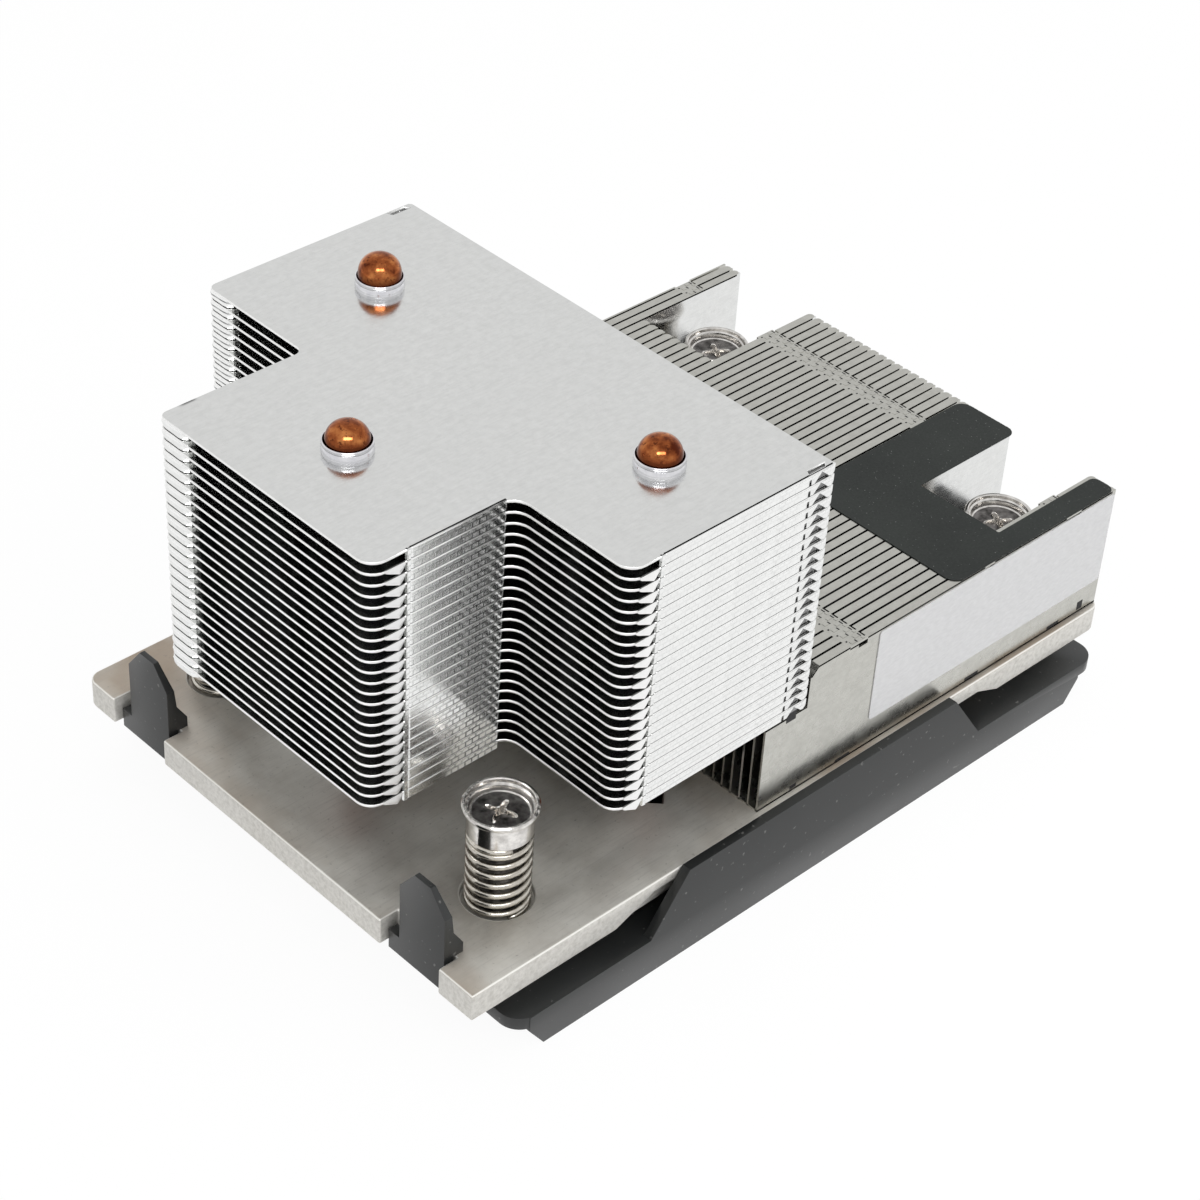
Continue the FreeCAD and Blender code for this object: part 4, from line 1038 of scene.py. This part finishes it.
def coil_level(turn, low, high):
    """The height of the wire's middle by turns from its foot, with an end turn closed at each end."""
    closed_rise = CLOSED_TURNS * 2 * WIRE
    first = low + closed_rise
    last = high - closed_rise
    if turn < CLOSED_TURNS:
        return low + (first - low) * turn / CLOSED_TURNS
    if turn > COIL_TURNS - CLOSED_TURNS:
        return last + (high - last) * (turn - COIL_TURNS + CLOSED_TURNS) / CLOSED_TURNS
    return first + (last - first) * (turn - CLOSED_TURNS) / (COIL_TURNS - 2 * CLOSED_TURNS)


def make_spring(corner):
    """Round wire with closed end turns."""
    x, y, _, _ = screw_place(corner)
    low, high = node_box(f"spring_{corner}")
    start = math.radians(COIL_STARTS[corner.split("_")[0]])
    total = int(COIL_TURNS * COIL_STEPS)
    rings = []
    for step in range(total + 1):
        turn = COIL_TURNS * step / total
        angle = start + 2 * math.pi * turn
        outward = Vector((math.cos(angle), math.sin(angle), 0))
        level = coil_level(turn, low.z + WIRE, high.z - WIRE)
        centre = Vector((x + COIL_RADIUS * outward.x, y + COIL_RADIUS * outward.y, level))
        ring = []
        for side in range(WIRE_SIDES):
            around = 2 * math.pi * side / WIRE_SIDES
            ring.append(centre + outward * WIRE * math.cos(around) + UP * WIRE * math.sin(around))
        rings.append(ring)
    bm = bmesh.new()
    loft(bm, rings)
    name = f"spring_{corner}"
    spring = finish_mesh(f"{name}_look", bm, [SPRING_METAL], ROOT, name, True)
    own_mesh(spring)


# Plate, tray, film and label
PLATE_ROUNDING = 0.28
TRAY_ROUNDING = 0.34
FILM_BREAK = 0.04
LABEL_CORNER = 0.6


def make_plate_and_tray():
    plate = soft_copy("base_plate", "base_plate_look", PLATE_ROUNDING, 2)
    dress(plate, [PLATE_METAL], ROOT, "base_plate")
    tray = soft_copy("protective_tray", "protective_tray_look", TRAY_ROUNDING, 3)
    dress(tray, [BLACK_PLASTIC], ROOT, "protective_tray")


def make_film():
    """A thin sheet with a bay round the rear right screw."""
    low, high = node_box("film")
    bm = bmesh.new()
    outline = rounded([
        (low.x, low.y, 2.0), (high.x, low.y, 1.3), (high.x, -NOTCH_OUTER, 1.1),
        (NOTCH_X, -NOTCH_OUTER, 0.2), (NOTCH_X, -NOTCH_INNER, 0.2), (high.x, -NOTCH_INNER, 1.5),
        (high.x, high.y, 1.8), (low.x, high.y, 0.8),
    ])
    flat_sheet(bm, [outline], low.z, high.z, FILM_BREAK)
    finish_mesh("film_look", bm, [BLACK_FILM], node="film")


def make_label():
    """A bare sticker with round corners."""
    low, high = node_box("label")
    bm = bmesh.new()
    corners = ((low.x, low.z), (high.x, low.z), (high.x, high.z), (low.x, high.z))
    prism(bm, rounded([(*corner, LABEL_CORNER) for corner in corners]), low.y, high.y, "y")
    finish_mesh("label_look", bm, [PAPER], node="label")


def dress_kept_nodes():
    """Hidden pieces keep their solids and get their metal."""
    looks = {"contact_pad": COPPER}
    looks.update({f"retaining_ring_{corner}": SPRING_METAL for corner in CORNERS})
    for node, material in looks.items():
        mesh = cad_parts[node].data
        mesh.materials.clear()
        mesh.materials.append(material)


# Studio
FLOOR_HALF = 3000.0
FLOOR_WHITE = 0.95
WORLD_FILL = 0.3
WORLD_MIRRORED = 0.85
LAMP_TARGET = (0.0, 0.0, 0.02)
CAMERA_PLACE = (-0.22723, -0.21808, 0.25646)
CAMERA_TURN, CAMERA_DROP, CAMERA_ROLL = -45.755, 37.8, 3.774
CAMERA_LENS = 86.328


def make_floor():
    """Pale floor: white to the camera, with the object's soft shadow kept."""
    bm = bmesh.new()
    block(bm, -FLOOR_HALF, FLOOR_HALF, -FLOOR_HALF, FLOOR_HALF, TRAY_BOTTOM - 1.0, TRAY_BOTTOM - 0.01)
    floor = bpy.data.objects.new("studio_floor", write_mesh("studio_floor", bm))
    bpy.context.collection.objects.link(floor)
    paint = Paint("studio_floor_look")
    tone = paint.ramp(paint.noise(12.0), (0.3, (0.9, 0.9, 0.9)), (0.7, (0.92, 0.92, 0.92)))
    paint.set(Base_Color=tone, Roughness=0.9)
    glow = paint.add("ShaderNodeEmission")
    glow.inputs["Strength"].default_value = 1.0
    path = paint.add("ShaderNodeLightPath").outputs
    seen = maths(paint.tree, "MAXIMUM", path["Is Camera Ray"], path["Is Glossy Ray"])
    seen = maths(paint.tree, "MAXIMUM", seen, path["Is Transmission Ray"])
    mixed = paint.add("ShaderNodeMixShader")
    paint.link(maths(paint.tree, "MULTIPLY", seen, FLOOR_WHITE), mixed.inputs["Fac"])
    paint.link(paint.shader.outputs["BSDF"], mixed.inputs[1])
    paint.link(glow.outputs["Emission"], mixed.inputs[2])
    paint.link(mixed.outputs["Shader"], paint.tree.nodes["Material Output"].inputs["Surface"])
    floor.data.materials.append(paint.material)


def make_world():
    """White to the camera and in reflections, a soft grey fill otherwise."""
    world = bpy.data.worlds.new("studio")
    bpy.context.scene.world = world
    world.use_nodes = True
    tree = world.node_tree
    back = tree.nodes["Background"]
    back.inputs["Color"].default_value = (1.0, 1.0, 1.0, 1.0)
    path = tree.nodes.new("ShaderNodeLightPath").outputs
    strength = tree.nodes.new("ShaderNodeMapRange")
    strength.inputs["To Min"].default_value = WORLD_FILL
    strength.inputs["To Max"].default_value = WORLD_MIRRORED
    seen = maths(tree, "MAXIMUM", path["Is Camera Ray"], path["Is Glossy Ray"])
    tree.links.new(seen, strength.inputs["Value"])
    shown = maths(tree, "MAXIMUM", strength.outputs["Result"], path["Is Camera Ray"])
    tree.links.new(shown, back.inputs["Strength"])


def make_lamp(name, place, size, power, mirrored):
    """An area lamp. The large ones aren't mirrored in bare metal, where they would clip to white."""
    lamp = bpy.data.lights.new(name, "AREA")
    lamp.shape = "RECTANGLE"
    lamp.size, lamp.size_y = size
    lamp.energy = power
    thing = bpy.data.objects.new(name, lamp)
    thing.location = place
    thing.visible_glossy = mirrored
    thing.rotation_euler = (Vector(LAMP_TARGET) - Vector(place)).to_track_quat("-Z", "Y").to_euler()
    bpy.context.collection.objects.link(thing)


def make_camera():
    """The photograph's own view, from a camera fitted to the part's known lines."""
    camera = bpy.data.cameras.new("portrait")
    camera.sensor_width = 36.0
    camera.lens = CAMERA_LENS
    camera.clip_start = 0.01
    camera.clip_end = 10.0
    thing = bpy.data.objects.new("portrait", camera)
    turn = Euler((math.radians(90 - CAMERA_DROP), 0, math.radians(CAMERA_TURN)), "XYZ").to_matrix()
    turn = turn @ Matrix.Rotation(math.radians(CAMERA_ROLL), 3, "Z")
    thing.matrix_world = Matrix.Translation(CAMERA_PLACE) @ turn.to_4x4()
    bpy.context.collection.objects.link(thing)
    bpy.context.scene.camera = thing


make_tower()
make_collars()
for pipe in PIPES:
    make_pipe(pipe)
make_stack()
for corner in CORNERS:
    make_screw(corner)
    make_spring(corner)
make_plate_and_tray()
make_film()
make_label()
dress_kept_nodes()
make_floor()
make_world()
make_lamp("key", (0.35, -0.75, 0.5), (0.8, 0.6), 4.6, False)
make_lamp("top", (0.1, 0.1, 0.9), (0.8, 0.8), 4.3, False)
make_lamp("glint", (-0.5, -0.6, 0.88), (0.8, 0.3), 4.6, True)
make_camera()
bpy.context.scene.view_settings.view_transform = "Standard"
